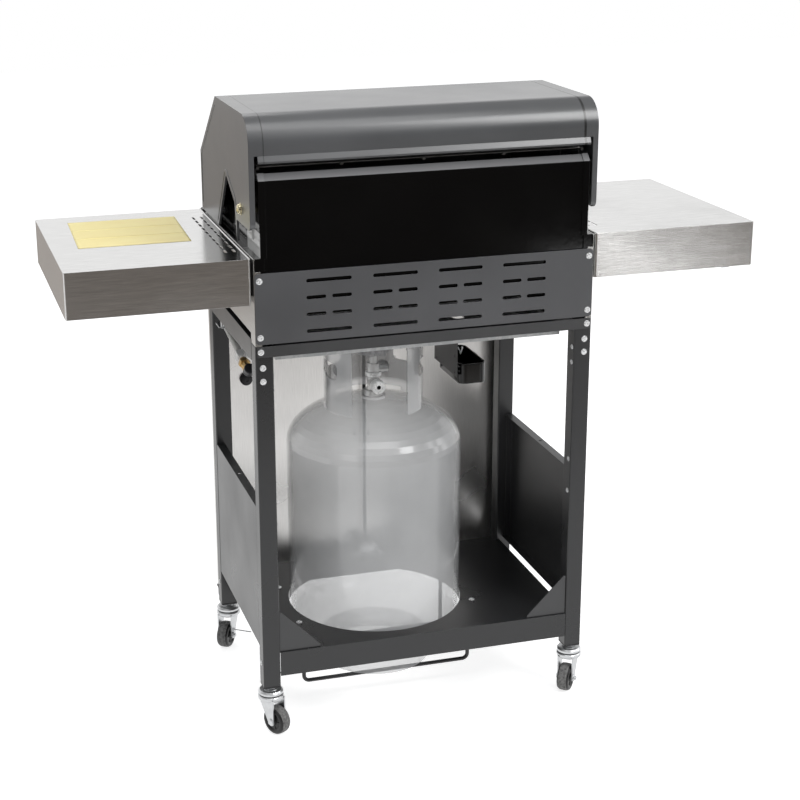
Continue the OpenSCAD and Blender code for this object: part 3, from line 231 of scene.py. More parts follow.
# %% [markdown]
# Soft lamps give the highlights. The key lamp hangs high on the photographer's side and draws the
# broad line along the lid's bend, which fades towards the right end. The front lamp stands behind the
# grill as the camera sees it and skims over the lid, and the others soften the shadows. Each line of
# the list gives a lamp's name, its place, the point that it looks at, its width and height and its watts.

# %% Lamps
def soft_lamp(name, place, target, width, height, watts):
    data = bpy.data.lights.new(name, "AREA")
    data.shape = "RECTANGLE"
    data.size = width
    data.size_y = height
    data.energy = watts
    lamp = bpy.data.objects.new(name, data)
    bpy.context.scene.collection.objects.link(lamp)
    lamp.location = place
    lamp.rotation_euler = (Vector(target) - Vector(place)).to_track_quat("-Z", "Y").to_euler()


LAMPS = [
    ("overhead_softbox", (0.2, 0.9, 3.2), (0, 0.1, 0.9), 2.2, 1.2, 20),
    ("key_softbox", (-1.75, 2.5, 3.2), (0, 0, 0.8), 1.1, 2.0, 54),
    ("camera_side_softbox", (2.8, 2.4, 2.0), (0, 0, 0.6), 1.2, 1.6, 8),
    ("left_softbox", (-3.2, 0.6, 1.6), (0, 0, 0.7), 1.4, 2.0, 26),
    ("front_softbox", (0.6, -2.4, 3.4), (0, 0, 0.7), 2.4, 1.2, 24),
]
for lamp in LAMPS:
    soft_lamp(*lamp)
print("lamps:", [lamp[0] for lamp in LAMPS])

# %% [markdown]
# ## Floor
# The floor is matt and nearly white. For the camera it glows a little, so that it is as white as the
# background and still keeps the grill's soft shadow. Metal mirrors it as a white sheet that
# ends a little way behind the grill, where the dim part of the room begins. A white card lies in
# that part: the left shelf's rear edge mirrors it and is bright as far as the card reaches. The dim
# part is slightly warm, as the right shelf's rear edge shows.

# %% Floor plane
FLOOR_HALF = 9
corners = [(x * FLOOR_HALF, y * FLOOR_HALF, 0) for x, y in ((-1, -1), (1, -1), (1, 1), (-1, 1))]
floor_mesh = bpy.data.meshes.new("floor")
floor_mesh.from_pydata(corners, [], [(0, 1, 2, 3)])
floor = bpy.data.objects.new("floor", floor_mesh)
scene.collection.objects.link(floor)
floor_finish = bpy.data.materials.new("studio_floor")
floor_finish.use_nodes = True
floor_mesh.materials.append(floor_finish)
print("floor side:", 2 * FLOOR_HALF, "m")

# %% Floor finish: what metal mirrors, and what the camera sees
CARD_GLOW = 3.2
CARD_ACROSS, CARD_ALONG = (-2.02, -1.86, -1.6, -1.4), (2.3, 2.7, 3.4, 3.56)
NEAR_EDGE, FAR_EDGE = (1.5, 2.1), (-2.8, -1.6)
DIM_FLOOR, FAR_FLOOR = 0.17, 0.42
WARM_SHADE = (1, 0.87, 0.76)
FLOOR_GREY, FLOOR_GLOW = 0.86, 0.72


def band(tree, value, edges, peak=1.0):
    rise = fade(tree, value, edges[0], edges[1], 0.0, peak)
    fall = fade(tree, value, edges[2], edges[3], 1.0, 0.0)
    return arithmetic(tree, "MULTIPLY", rise, fall)


tree = floor_finish.node_tree
tree.nodes.clear()
spot = object_axes(tree)
near_end = fade(tree, spot["Y"], *NEAR_EDGE, 1.0, DIM_FLOOR)
far_end = fade(tree, spot["Y"], *FAR_EDGE, FAR_FLOOR, 1.0)
sheet = arithmetic(tree, "MULTIPLY", near_end, far_end)
card_across = band(tree, spot["X"], CARD_ACROSS, CARD_GLOW)
card = arithmetic(tree, "MULTIPLY", card_across, band(tree, spot["Y"], CARD_ALONG))
floor_tone = arithmetic(tree, "MAXIMUM", sheet, card)
ray = add_node(tree, "LightPath").outputs
for_camera = arithmetic(tree, "MULTIPLY", ray["Is Camera Ray"], FLOOR_GLOW)
matt = add_node(tree, "BsdfDiffuse", grey(FLOOR_GREY)).outputs[0]
glow = add_node(tree, "Emission", grey(1), for_camera).outputs[0]
both = add_node(tree, "AddShader", matt, glow).outputs[0]
tinted_floor = blend(tree, floor_tone, WARM_SHADE, grey(1))
mirrored = add_node(tree, "Emission", tinted_floor, floor_tone).outputs[0]
shown = add_node(tree, "MixShader", ray["Is Glossy Ray"], both, mirrored).outputs[0]
add_node(tree, "OutputMaterial", shown)
print("floor nodes:", len(tree.nodes))

# %% [markdown]
# ## Effects that several finishes share
# Brushed steel, paint and castings differ in colour, but each needs the same kind of ingredients:
# grain that is stretched one way, a fine bumpy skin, and slow clouds of tone. Pictures could give them,
# but they blur close up and repeat. Each ingredient is a node group with named inputs instead, built
# once here and placed in the materials with its own values.

# %% Helper: a node group with named sockets
FLOAT, VECTOR = "NodeSocketFloat", "NodeSocketVector"


def effect_group(name, inputs, outputs):
    group = bpy.data.node_groups.new(name, "ShaderNodeTree")
    for label, kind, value in inputs:
        socket = group.interface.new_socket(label, in_out="INPUT", socket_type=kind)
        socket.default_value = value
    for label in outputs:
        group.interface.new_socket(label, in_out="OUTPUT", socket_type=FLOAT)
    given = group.nodes.new("NodeGroupInput").outputs
    result = group.nodes.new("NodeGroupOutput").inputs
    print("effect group", name, "gives", outputs)
    return group, given, result, object_place(group)


def place_group(tree, group, **values):
    node = tree.nodes.new("ShaderNodeGroup")
    node.node_tree = group
    for label, value in values.items():
        node.inputs[label.replace("_", " ")].default_value = value
    return node.outputs


# %% Brushed grain: fine lines one way, and cloudy patches
brushed_grain, given, result, place = effect_group(
    "brushed_grain",
    [("Stretch", VECTOR, (40, 1800, 1800)), ("Cloud Scale", FLOAT, 6.0), ("Detail", FLOAT, 4.0)],
    ["Lines", "Clouds"],
)
squeezed = vector_math(brushed_grain, "MULTIPLY", place, given["Stretch"])
lines = add_node(brushed_grain, "TexNoise", Vector=squeezed, Scale=1.0, Detail=given["Detail"], Roughness=0.62)
clouds = add_node(brushed_grain, "TexNoise", Vector=place, Scale=given["Cloud Scale"], Detail=3.0)
feed(brushed_grain, result["Lines"], lines.outputs[0])
feed(brushed_grain, result["Clouds"], clouds.outputs[0])

# %% Pebbled skin: the fine orange peel of powder coat, castings and moulded plastic
pebbled_skin, given, result, place = effect_group(
    "pebbled_skin",
    [("Grain Scale", FLOAT, 1400.0), ("Patch Scale", FLOAT, 9.0)],
    ["Height", "Patches"],
)
fine = add_node(pebbled_skin, "TexNoise", Vector=place, Scale=given["Grain Scale"], Detail=2.0)
patches = add_node(pebbled_skin, "TexNoise", Vector=place, Scale=given["Patch Scale"], Detail=4.0)
feed(pebbled_skin, result["Height"], fine.outputs[0])
feed(pebbled_skin, result["Patches"], patches.outputs[0])

# %% Crystal flakes: the spangle of galvanised sheet
crystal_flakes, given, result, place = effect_group(
    "crystal_flakes", [("Flake Scale", FLOAT, 130.0)], ["Flake", "Clouds"]
)
cells = add_node(crystal_flakes, "TexVoronoi", Vector=place, Scale=given["Flake Scale"])
tone = add_node(crystal_flakes, "SeparateXYZ", cells.outputs["Color"]).outputs["X"]
clouds = add_node(crystal_flakes, "TexNoise", Vector=place, Scale=14.0, Detail=3.0)
feed(crystal_flakes, result["Flake"], tone)
feed(crystal_flakes, result["Clouds"], clouds.outputs[0])

# %% [markdown]
# ## How a finish is put together
# Every finish below is one Principled BSDF. A group gives values that change over the surface, a
# Map Range turns each into the right span of roughness or tone, and a Bevel node rounds the folded
# edges for the light only, since real sheet never has a razor edge. Numbers that are the same all
# over, such as metallic or coat, are set on the shader's own sockets.

# %% Helpers: start a finish, and wire its skin
def new_finish(name, color, rough, metal=0.0, edge=0.0008):
    material = bpy.data.materials.new(name)
    material.use_nodes = True
    material.diffuse_color = (*color, 1)
    tree = material.node_tree
    sockets = tree.nodes["Principled BSDF"].inputs
    for label, value in (("Base Color", color), ("Roughness", rough), ("Metallic", metal)):
        feed(tree, sockets[label], value)
    bump = add_node(tree, "Bump")
    feed(tree, sockets["Normal"], bump.outputs[0])
    if edge > 0:
        rounded = add_node(tree, "Bevel", edge)
        rounded.samples = 4
        feed(tree, bump.inputs["Normal"], rounded.outputs[0])
    return material, tree, sockets, bump.inputs


def wire_skin(tree, sockets, bump_sockets, color, rough, height, bump):
    feed(tree, sockets["Base Color"], color)
    feed(tree, sockets["Roughness"], rough)
    feed(tree, bump_sockets["Height"], height)
    for label, value in zip(("Strength", "Distance"), bump):
        feed(tree, bump_sockets[label], value)


def two_tone(tree, value, dark, light, start=0.3, end=0.7):
    return blend(tree, span(tree, value, 0, 1, start, end), dark, light)


# %% Helpers: set a finish's fixed numbers, and dress nodes with it
def set_gloss(material, **values):
    sockets = material.node_tree.nodes["Principled BSDF"].inputs
    for label, value in values.items():
        sockets[label.replace("_", " ")].default_value = value
    return material


def dress(names, finish):
    for name in names.split():
        slots = NODES[name].data.materials
        slots.clear()
        slots.append(finish)
    print(finish.name, "on", names)


# %% Helper: a finish with a pebbled skin
def pebbled(
    name, dark, light, rough, metal=0.0, grain=900, patches=30, bump=(0.1, 0.0003),
    edge=0.0008, spread=(0.05, 0.06),
):
    material, tree, sockets, bump_sockets = new_finish(name, light, rough, metal, edge)
    skin = place_group(tree, pebbled_skin, Grain_Scale=grain, Patch_Scale=patches)
    color = two_tone(tree, skin["Patches"], dark, light)
    roughness = span(tree, skin["Patches"], rough - spread[0], rough + spread[1])
    wire_skin(tree, sockets, bump_sockets, color, roughness, skin["Height"], bump)
    return material


# %% Helpers: lay one more colour over a finish where a mask says so
def zone(tree, value, low, high, soft=0.0003):
    above = span(tree, value, 0, 1, low - soft, low + soft)
    below = span(tree, value, 1, 0, high - soft, high + soft)
    return arithmetic(tree, "MULTIPLY", above, below)


def tinted(tree, mask, color):
    socket = tree.nodes["Principled BSDF"].inputs["Base Color"]
    paint = socket.links[0].from_socket
    feed(tree, socket, blend(tree, mask, paint, color))


# %% [markdown]
# ## Graphite powder coat
# The legs, rails, panels and shelf are sprayed with a satin graphite powder and baked. It has a
# very fine orange peel, and its tone drifts slightly over a large sheet. One paint could serve all,
# but in the photograph the lid, the vent panel and the rear rail catch more light, so each has its
# own tone. The lid's coat is smoother and has more shine.

# %% Powder coats
def powder_coat(name, dark, light, rough, peel, coat=0.0):
    bump = (peel, 0.0004)
    material = pebbled(name, dark, light, rough, grain=1500, patches=7, bump=bump, spread=(0.04, 0.05))
    return set_gloss(material, IOR=1.62, Coat_Weight=coat, Coat_Roughness=0.22)


graphite = powder_coat("graphite_powder_coat", (0.017, 0.0173, 0.0185), (0.022, 0.0224, 0.024), 0.3, 0.12)
lid_graphite = powder_coat("lid_graphite", (0.069, 0.071, 0.074), (0.084, 0.086, 0.09), 0.34, 0.05, 0.5)
panel_graphite = powder_coat("panel_powder_coat", (0.074, 0.075, 0.079), (0.09, 0.091, 0.096), 0.34, 0.1)
black_powder = powder_coat("black_powder_coat", (0.012, 0.012, 0.013), (0.018, 0.018, 0.02), 0.4, 0.12)
rail_graphite = powder_coat("rail_powder_coat", (0.042, 0.0425, 0.044), (0.052, 0.0525, 0.055), 0.32, 0.12)
dress("bottom_shelf legs side_panels side_rails front_header", graphite)
dress("shelf_brackets door_hinges control_panel", graphite)
dress("lid_skin lid_cap_right lid_cap_left", lid_graphite)
dress("rear_vent_panel", panel_graphite)
dress("rear_rail corner_gussets", rail_graphite)
dress("cylinder_cradle cup_bracket", black_powder)

# %% [markdown]
# ## Seams of the lid
# The lid's skin lies over two pressed end caps, and a dark line shows where they meet. It is thinner
# than any gap that could be modelled well, so it is drawn in the paint: the distance from the seam
# gives a mask, and the mask lays black over the coat. The line at the left end is wider and darker.

# %% Dark seams
RIGHT_SEAM, LEFT_SEAM = 0.27035, -0.271
RIGHT_WIDTH, LEFT_WIDTH = (0.0003, 0.0011), (0.0016, 0.0026)
RIGHT_DARKNESS, LEFT_DARKNESS = 0.8, 1.0
SEAM_BLACK = grey(0.004)


def seam(tree, x, seam_x, darkness, near, far):
    distance = arithmetic(tree, "ABSOLUTE", arithmetic(tree, "SUBTRACT", x, seam_x))
    return span(tree, distance, darkness, 0, near, far)


tree = lid_graphite.node_tree
axes = object_axes(tree)
right_line = seam(tree, axes["X"], RIGHT_SEAM, RIGHT_DARKNESS, *RIGHT_WIDTH)
left_line = seam(tree, axes["X"], LEFT_SEAM, LEFT_DARKNESS, *LEFT_WIDTH)
tinted(tree, arithmetic(tree, "MAXIMUM", right_line, left_line), SEAM_BLACK)
print("lid seams at", RIGHT_SEAM, LEFT_SEAM)

# %% [markdown]
# ## Black enamel
# The firebox is dipped in glass enamel and fired. It is nearly black and mirrors the studio, with a
# faint waviness from the thin sheet under it. The rolled lip at its top is painted a lighter grey, a
# painted reflection of the light under the lid, and the foot of each side is bare metal near the back.
# Both could be pieces of their own, but they are the same sheet, so the finish changes by place
# instead. The grease cup has a glossier coat of black.

# %% Enamel
# The lip band and its lighter grey are a painted reflection on the rolled lip.
LIP_SHEEN_BAND = (0.9664, 0.99)
BARE_SIDE, BARE_FOOT, BARE_REAR = (0.2796, 0.2902), (0.8434, 0.884), (0.1 + cart_y, 0.2 + cart_y)
LIP_SHEEN_GREY, BARE_METAL, FOOT_SOFT = (0.2, 0.2, 0.205), (0.62, 0.62, 0.61), 0.0006
enamel = pebbled(
    "black_enamel", (0.0012, 0.0012, 0.0014), grey(0.0028), 0.08, grain=60, patches=5,
    bump=(0.08, 0.0006), edge=0.0012, spread=(0.03, 0.05),
)
set_gloss(enamel, IOR=1.28)
tree = enamel.node_tree
axes = object_axes(tree)
off_middle = arithmetic(tree, "ABSOLUTE", axes["X"])
low_foot = zone(tree, axes["Z"], *BARE_FOOT, FOOT_SOFT)
foot = arithmetic(tree, "MULTIPLY", low_foot, zone(tree, axes["Y"], *BARE_REAR))
bare = arithmetic(tree, "MULTIPLY", zone(tree, off_middle, *BARE_SIDE), foot)
# Painted reflection: the rolled lip is painted a lighter grey.
tinted(tree, zone(tree, axes["Z"], *LIP_SHEEN_BAND), LIP_SHEEN_GREY)
tinted(tree, bare, BARE_METAL)
dress("firebox", enamel)

# %% The cup's gloss
cup_gloss = pebbled(
    "gloss_black_cup", (0.0015, 0.0015, 0.0016), grey(0.004), 0.06, grain=90, patches=9,
    bump=(0.05, 0.0004), edge=0.004, spread=(0.03, 0.04),
)
set_gloss(cup_gloss, IOR=1.46)
dress("grease_cup", cup_gloss)

# %% [markdown]
# ## Brushed stainless steel
# The side shelves and doors are brushed sheet. Fine lines run along the grain and spread the
# reflections across it, and slow clouds change the shine a little, as fingers and cleaning leave it.
# The shader's own anisotropy could fake the lines, but real ones show when one comes close, so the
# noise is squeezed until it is a bundle of lines. Its three numbers say which way they run.

# %% Stainless finishes
def brushed(name, dark, light, rough, stretch, lines=0.22):
    material, tree, sockets, bump_sockets = new_finish(name, light, rough, 1.0)
    grain = place_group(tree, brushed_grain, Stretch=stretch, Cloud_Scale=5.0)
    color = two_tone(tree, grain["Lines"], dark, light)
    roughness = span(tree, grain["Clouds"], rough - 0.05, rough + 0.06)
    wire_skin(tree, sockets, bump_sockets, color, roughness, grain["Lines"], (lines, 0.0003))
    return material


ACROSS, UPRIGHT, DEPTHWISE = (30, 900, 900), (900, 900, 30), (900, 30, 900)
shelf_steel = brushed("shelf_stainless", (0.62, 0.617, 0.61), (0.8, 0.797, 0.79), 0.2, ACROSS, 0.2)
door_steel = brushed("door_stainless", (0.8, 0.79, 0.775), (0.91, 0.9, 0.885), 0.3, UPRIGHT)
tube_steel = brushed("polished_tube", (0.55, 0.55, 0.54), (0.64, 0.64, 0.63), 0.2, ACROSS, 0.1)
mill_steel = brushed("mill_finish_sheet", (0.5, 0.5, 0.49), (0.6, 0.6, 0.59), 0.26, DEPTHWISE, 0.12)
dress("side_shelf_right side_shelf_left", shelf_steel)
dress("door_right door_left", door_steel)
dress("lid_handle door_handle_right door_handle_left burners", tube_steel)
dress("side_walls flame_tamers", mill_steel)

# %% [markdown]
# ## Galvanised sheet and plated parts
# The grease tray and the door catch are galvanised, which leaves flat crystals of slightly different
# shine. Voronoi cells have the same straight borders, so they draw the crystals. Casters, screws and
# bezels are bright plate. The warming rack's wire is painted dark grey as painted shade, because it
# lies in the shade under the lid.

# %% Zinc
galvanised, tree, sockets, bump_sockets = new_finish("galvanised_sheet", (0.62, 0.64, 0.65), 0.4, 0.7)
flakes = place_group(tree, crystal_flakes, Flake_Scale=120.0)
zinc_tone = two_tone(tree, flakes["Flake"], (0.56, 0.58, 0.59), (0.72, 0.73, 0.74), 0.0, 1.0)
zinc_shine = span(tree, flakes["Clouds"], 0.3, 0.46)
wire_skin(tree, sockets, bump_sockets, zinc_tone, zinc_shine, flakes["Flake"], (0.06, 0.0003))
dress("grease_tray door_catch", galvanised)

plated = pebbled(
    "bright_plate", (0.6, 0.61, 0.62), (0.76, 0.77, 0.78), 0.32, metal=1.0, patches=60,
    bump=(0.05, 0.0002), edge=0.0005, spread=(0.05, 0.08),
)
# The rack's dark grey wire is painted shade under the lid.
rack_wire_shade = pebbled(
    "rack_wire_painted_shade", grey(0.2), grey(0.32), 0.4, metal=1.0, grain=700, patches=40, bump=(0.2, 0.0003)
)
dress("panel_bezels hose_clip cart_screws temperature_gauge brake_lever_right brake_lever_left", plated)
dress("fork_front_right fork_front_left fork_rear_right fork_rear_left", plated)
dress("warming_rack", rack_wire_shade)

# %% [markdown]
# ## Brass, iron, plastic and rubber
# Brass fittings are turned and smooth, the grates are sand cast and rough, the knobs are moulded and
# satin, and the tyres are grey rubber with paler scuffs. One recipe serves all four, because they
# differ only in colour, shine and in how coarse and deep their skin is.

# %% Brass, iron, plastic and rubber
brass = pebbled("turned_brass", (0.5, 0.33, 0.13), (0.68, 0.48, 0.22), 0.28, metal=1.0, grain=700)
pivot_plate = pebbled(
    "yellow_zinc_plate", (0.62, 0.55, 0.36), (0.78, 0.72, 0.52), 0.26, metal=1.0, grain=500,
    bump=(0.08, 0.0003),
)
iron = pebbled("cast_iron", grey(0.012), (0.03, 0.029, 0.028), 0.55, grain=420, bump=(0.5, 0.0006))
plastic = pebbled(
    "moulded_black_plastic", (0.012, 0.012, 0.013), (0.02, 0.02, 0.022), 0.4, grain=1200, bump=(0.12, 0.0003)
)
hose_rubber = pebbled(
    "grey_hose_rubber", (0.6, 0.59, 0.555), (0.7, 0.69, 0.655), 0.5, patches=80, bump=(0.2, 0.0003)
)
tread = pebbled(
    "grey_wheel_rubber", grey(0.07), (0.26, 0.256, 0.25), 0.55, grain=260, patches=240, bump=(0.35, 0.0006)
)
dress("gas_manifold hose_fitting", brass)
dress("lid_pivot_bolts", pivot_plate)
dress("grate_right grate_left", iron)
dress("caster_sockets handle_posts knob_right knob_centre knob_left igniter_button", plastic)
dress("gas_hose", hose_rubber)
dress("wheel_front_right wheel_front_left wheel_rear_right wheel_rear_left", tread)

# %% [markdown]
# ## The see-through gas cylinder
# The photograph shows where the cylinder stands by printing it half clear over the picture. Glass would
# bend the doors behind it, so its paint is a pale satin grey with a part of its opacity taken away.
# Only the faces that look at the camera are painted: Backfacing clears the far side, so the doors and
# the shelf show through one layer of paint. It casts no shadow, and nothing mirrors it.

# %% Cylinder paint
def ghost_paint(name, dark, light, alpha, rough=0.38):
    material = pebbled(name, dark, light, rough, grain=500, patches=8, bump=(0.015, 0.0003))
    tree = material.node_tree
    far_side = add_node(tree, "NewGeometry").outputs["Backfacing"]
    feed(tree, tree.nodes["Principled BSDF"].inputs["Alpha"], span(tree, far_side, alpha, 0, 0, 1))
    return set_gloss(material, IOR=1.75, Coat_Weight=0.7, Coat_Roughness=0.1)


bottle_paint = ghost_paint("half_clear_bottle_paint", (0.58, 0.585, 0.59), (0.68, 0.685, 0.69), 0.5, 0.2)
wheel_plastic = ghost_paint("half_clear_handwheel", (0.2, 0.2, 0.21), (0.26, 0.26, 0.27), 0.6)
valve_metal = ghost_paint("half_clear_valve_metal", grey(0.5), (0.68, 0.68, 0.67), 0.7)
set_gloss(valve_metal, Metallic=0.6)
dress("gas_cylinder", bottle_paint)
dress("cylinder_handwheel", wheel_plastic)
dress("cylinder_valve", valve_metal)
for name in "gas_cylinder cylinder_handwheel cylinder_valve".split():
    NODES[name].visible_shadow = False
    NODES[name].visible_glossy = False
    NODES[name].visible_diffuse = False

# %% [markdown]
# The inside of the collar is in deep shade, so it is darker and hides more. It could have a finish of
# its own, but the collar and the body are one mesh. The distance from the cylinder's axis tells the
# inside from the outside.

# %% Shade inside the collar
CYLINDER_X, CYLINDER_Y = 39.6, 7
COLLAR_INSIDE, COLLAR_FOOT = (0.086, 0.0866), (0.535, 0.545)
COLLAR_SHADE, COLLAR_HIDES = (0.06, 0.06, 0.062), 0.3
tree = bottle_paint.node_tree
sockets = tree.nodes["Principled BSDF"].inputs
axis_foot = at(CYLINDER_X, CYLINDER_Y, 0)
from_axis = vector_math(tree, "SUBTRACT", object_place(tree), axis_foot)
distance = arithmetic(tree, "LENGTH", vector_math(tree, "MULTIPLY", from_axis, (1, 1, 0)), kind="VectorMath")
within = span(tree, distance, 1, 0, *COLLAR_INSIDE)
above = span(tree, object_axes(tree)["Z"], 0, 1, *COLLAR_FOOT)
inside = arithmetic(tree, "MULTIPLY", within, above)
tinted(tree, inside, COLLAR_SHADE)
facing = sockets["Alpha"].links[0].from_socket
feed(tree, sockets["Alpha"], arithmetic(tree, "ADD", span(tree, inside, 0, COLLAR_HIDES, 0, 1), facing))
print("cylinder axis at", CYLINDER_X, CYLINDER_Y)

# %% [markdown]
# ## Finishes of the small pieces
# These follow the same recipe: a colour that drifts between two tones, a roughness that drifts with it,
# and a bump that is only as deep as the real skin.

# %% Small finishes
screw_plate = pebbled(
    "screw_plate", (0.82, 0.83, 0.84), grey(0.95), 0.28, metal=0.5, patches=300, bump=(0.05, 0.0002)
)
nut_plate = pebbled(
    "bright_nut_plate", (0.76, 0.76, 0.75), (0.95, 0.95, 0.94), 0.3, metal=0.25, grain=700, patches=160,
    bump=(0.1, 0.0002),
)
# Near black: painted shade in the screws' cross recesses, the outlet's bore and the door gap, and the own
# black of the door plugs.
shade_and_plug_black = pebbled("painted_shade_and_plug_black", grey(0.006), grey(0.02), 0.6, patches=300, bump=(0.2, 0.0003))
hub_plastic = pebbled("wheel_hub_plastic", grey(0.006), grey(0.012), 0.32, patches=60, bump=(0.15, 0.0003))
white_ink = pebbled(
    "white_ink", (0.78, 0.78, 0.76), (0.86, 0.86, 0.85), 0.45, grain=1500, patches=200, bump=(0.1, 0.0002)
)
DIAL_SKIN = {"grain": 1200, "patches": 60, "bump": (0.05, 0.0002)}
dial_white = pebbled("dial_white", (0.74, 0.73, 0.7), (0.84, 0.83, 0.8), 0.5, **DIAL_SKIN)
needle_red = pebbled("needle_red", (0.5, 0.02, 0.015), (0.62, 0.03, 0.02), 0.4, **DIAL_SKIN)
dial_glass = pebbled("dial_glass", grey(0.9), grey(0.95), 0.06, grain=400, patches=60, bump=(0.02, 0.0002))
set_gloss(dial_glass, Alpha=0.12)
print("finishes so far:", len(bpy.data.materials))

# %% [markdown]
# The sheet on the shelf is thin yellow film that was folded twice. Its folds are ridges in the mesh,
# and a darker line along each shows the shadow that such a low ridge is too small to cast.

# %% Yellow film with two fold lines
DOWN_SHEET = (0.0219, 1, 0)
FOLDS, FOLD_HALF, FOLD_SOFT = (-0.0935, -0.0266), 0.0006, 0.0005
FOLD_SHADE = (0.72, 0.56, 0.17)
yellow_film = pebbled(
    "yellow_film", (0.96, 0.81, 0.32), (1.0, 0.88, 0.41), 0.45, grain=160, patches=22,
    bump=(0.06, 0.0005), edge=0,
)
tree = yellow_film.node_tree
down_sheet = arithmetic(tree, "DOT_PRODUCT", object_place(tree), DOWN_SHEET, kind="VectorMath")
for fold in FOLDS:
    middle = fold + cart_y
    tinted(tree, zone(tree, down_sheet, middle - FOLD_HALF, middle + FOLD_HALF, FOLD_SOFT), FOLD_SHADE)
print("fold lines:", len(FOLDS))

# %% [markdown]
# ## Small pieces
# A construction model keeps its small parts simple. The pieces below put back what the eye looks for:
# turned profiles, cross recesses, a smooth hose and the ridges of a folded sheet. Most round things
# are turned on a lathe, so one helper spins a profile about any axis, and a second one sweeps a circle
# along a route. Curves and modifiers could do the same, but these give exact radii in millimetres.
# Each new piece is tied to the body that it is fixed to, so that it moves with it.

# %% Helper: spin a profile of (radius, distance along the axis) pairs
def lathe(bm, profile, place, axis, segments=48, slots=None, closed=False, start=0.0):
    axis = Vector(axis).normalized()
    side = axis.orthogonal().normalized()
    other = axis.cross(side)
    turn = [start + 2 * math.pi * k / segments for k in range(segments)]
    spokes = [math.cos(a) * side + math.sin(a) * other for a in turn]
    rings = []
    for radius, along in profile:
        centre = Vector(place) + axis * along * MM
        if radius < 0.01:
            rings.append([bm.verts.new(centre)])
            continue
        rings.append([bm.verts.new(centre + radius * MM * spoke) for spoke in spokes])
    pairs = list(zip(rings, rings[1:] + rings[:1]))
    for number, (low, high) in enumerate(pairs if closed else pairs[:-1]):
        for k in range(segments):
            m = k + 1
            corners = [low[k % len(low)], low[m % len(low)], high[m % len(high)], high[k % len(high)]]
            face = bm.faces.new(list(dict.fromkeys(corners)))
            face.material_index = slots[number] if slots else 0


# %% Helper: a smooth route that passes through every point
def smooth_route(points, steps=6):
    ends = [points[0], *points, points[-1]]
    route = []
    for a, b, c, d in zip(ends, ends[1:], ends[2:], ends[3:]):
        for k in range(steps):
            t = k / steps
            bend = (2 * a - 5 * b + 4 * c - d) * t**2 + (3 * b - a - 3 * c + d) * t**3
            route.append(0.5 * (2 * b + (c - a) * t + bend))
    return [*route, points[-1]]


# %% Helper: a tube along a route
def tube(bm, route, radius, sides=16, slot=0, capped=True):
    rings = []
    side = (route[1] - route[0]).orthogonal().normalized()
    turn = [2 * math.pi * n / sides for n in range(sides)]
    for k, point in enumerate(route):
        ahead = (route[min(k + 1, len(route) - 1)] - route[max(k - 1, 0)]).normalized()
        side = (side - side.dot(ahead) * ahead).normalized()
        other = ahead.cross(side)
        rings.append([bm.verts.new(point + radius * (math.cos(a) * side + math.sin(a) * other)) for a in turn])
    for low, high in zip(rings, rings[1:]):
        for n in range(sides):
            m = (n + 1) % sides
            bm.faces.new((low[n], low[m], high[m], high[n])).material_index = slot
    if capped:
        bm.faces.new(rings[0][::-1]).material_index = slot
        bm.faces.new(rings[-1]).material_index = slot


# %% Helper: turn a finished mesh into a piece that rides on a body
def finish_piece(bm, name, body, finishes, sharp=35):
    bmesh.ops.recalc_face_normals(bm, faces=bm.faces)
    mesh = bpy.data.meshes.new(name)
    bm.to_mesh(mesh)
    bm.free()
    for finish in finishes:
        mesh.materials.append(finish)
    mesh.polygons.foreach_set("use_smooth", [True] * len(mesh.polygons))
    mesh.set_sharp_from_angle(angle=math.radians(sharp))
    piece = bpy.data.objects.new(name, mesh)
    scene.collection.objects.link(piece)
    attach(piece, body)
    print(f"{name}: {len(mesh.polygons)} faces, rides on {body}")
    return piece


# %% [markdown]
# ## Screws
# Pan-head screws with a cross recess hold the cart together. The recess could be cut with a Boolean,
# but that leaves a messy rim. Instead each head is turned as a low dome, and the points that lie in
# the cross are pushed in, which gives four slots with sloping ends. The places and directions come
# from the construction model's plain heads: its mesh falls apart into one loose part for each screw.

# %% Cross-head screws
HEAD_RINGS, HEAD_TURNS = (0, 0.13, 0.24, 0.36, 0.48, 0.56, 0.72, 0.88, 0.97, 1.0), 40
SLOT_HALF, SLOT_REACH, SLOT_DEPTH = 0.11, 0.5, 0.75
DOME_DROP, DOME_CURVE, SKIRT = 0.55, 2.4, 0.45
RECESS_REACH, RECESS_LEVEL = 0.6, 0.5


def screw_head(bm, centre, axis, radius, height):
    side = axis.orthogonal().normalized()
    other = axis.cross(side)
    rows = []
    for ring in HEAD_RINGS:
        row = []
        for k in range(HEAD_TURNS if ring else 1):
            angle = 2 * math.pi * k / HEAD_TURNS
            u, v = ring * math.cos(angle), ring * math.sin(angle)
            lift = height * (1 - DOME_DROP * ring**DOME_CURVE)
            if ring < SLOT_REACH and min(abs(u), abs(v)) < SLOT_HALF:
                lift -= height * SLOT_DEPTH
            row.append(bm.verts.new(centre + radius * (u * side + v * other) + axis * lift))
        rows.append(row)
    rows.append([bm.verts.new(v.co - axis * height * SKIRT) for v in rows[-1]])
    for low, high in zip(rows, rows[1:]):
        for k in range(HEAD_TURNS):
            corners = [low[k % len(low)], low[(k + 1) % len(low)], high[(k + 1) % HEAD_TURNS], high[k]]
            face = bm.faces.new(list(dict.fromkeys(corners)))
            low_point = min((v.co - centre).dot(axis) for v in face.verts)
            reach = max((v.co - centre).cross(axis).length for v in face.verts)
            in_recess = reach < RECESS_REACH * radius and low_point < RECESS_LEVEL * height
            face.material_index = 1 if in_recess else 0


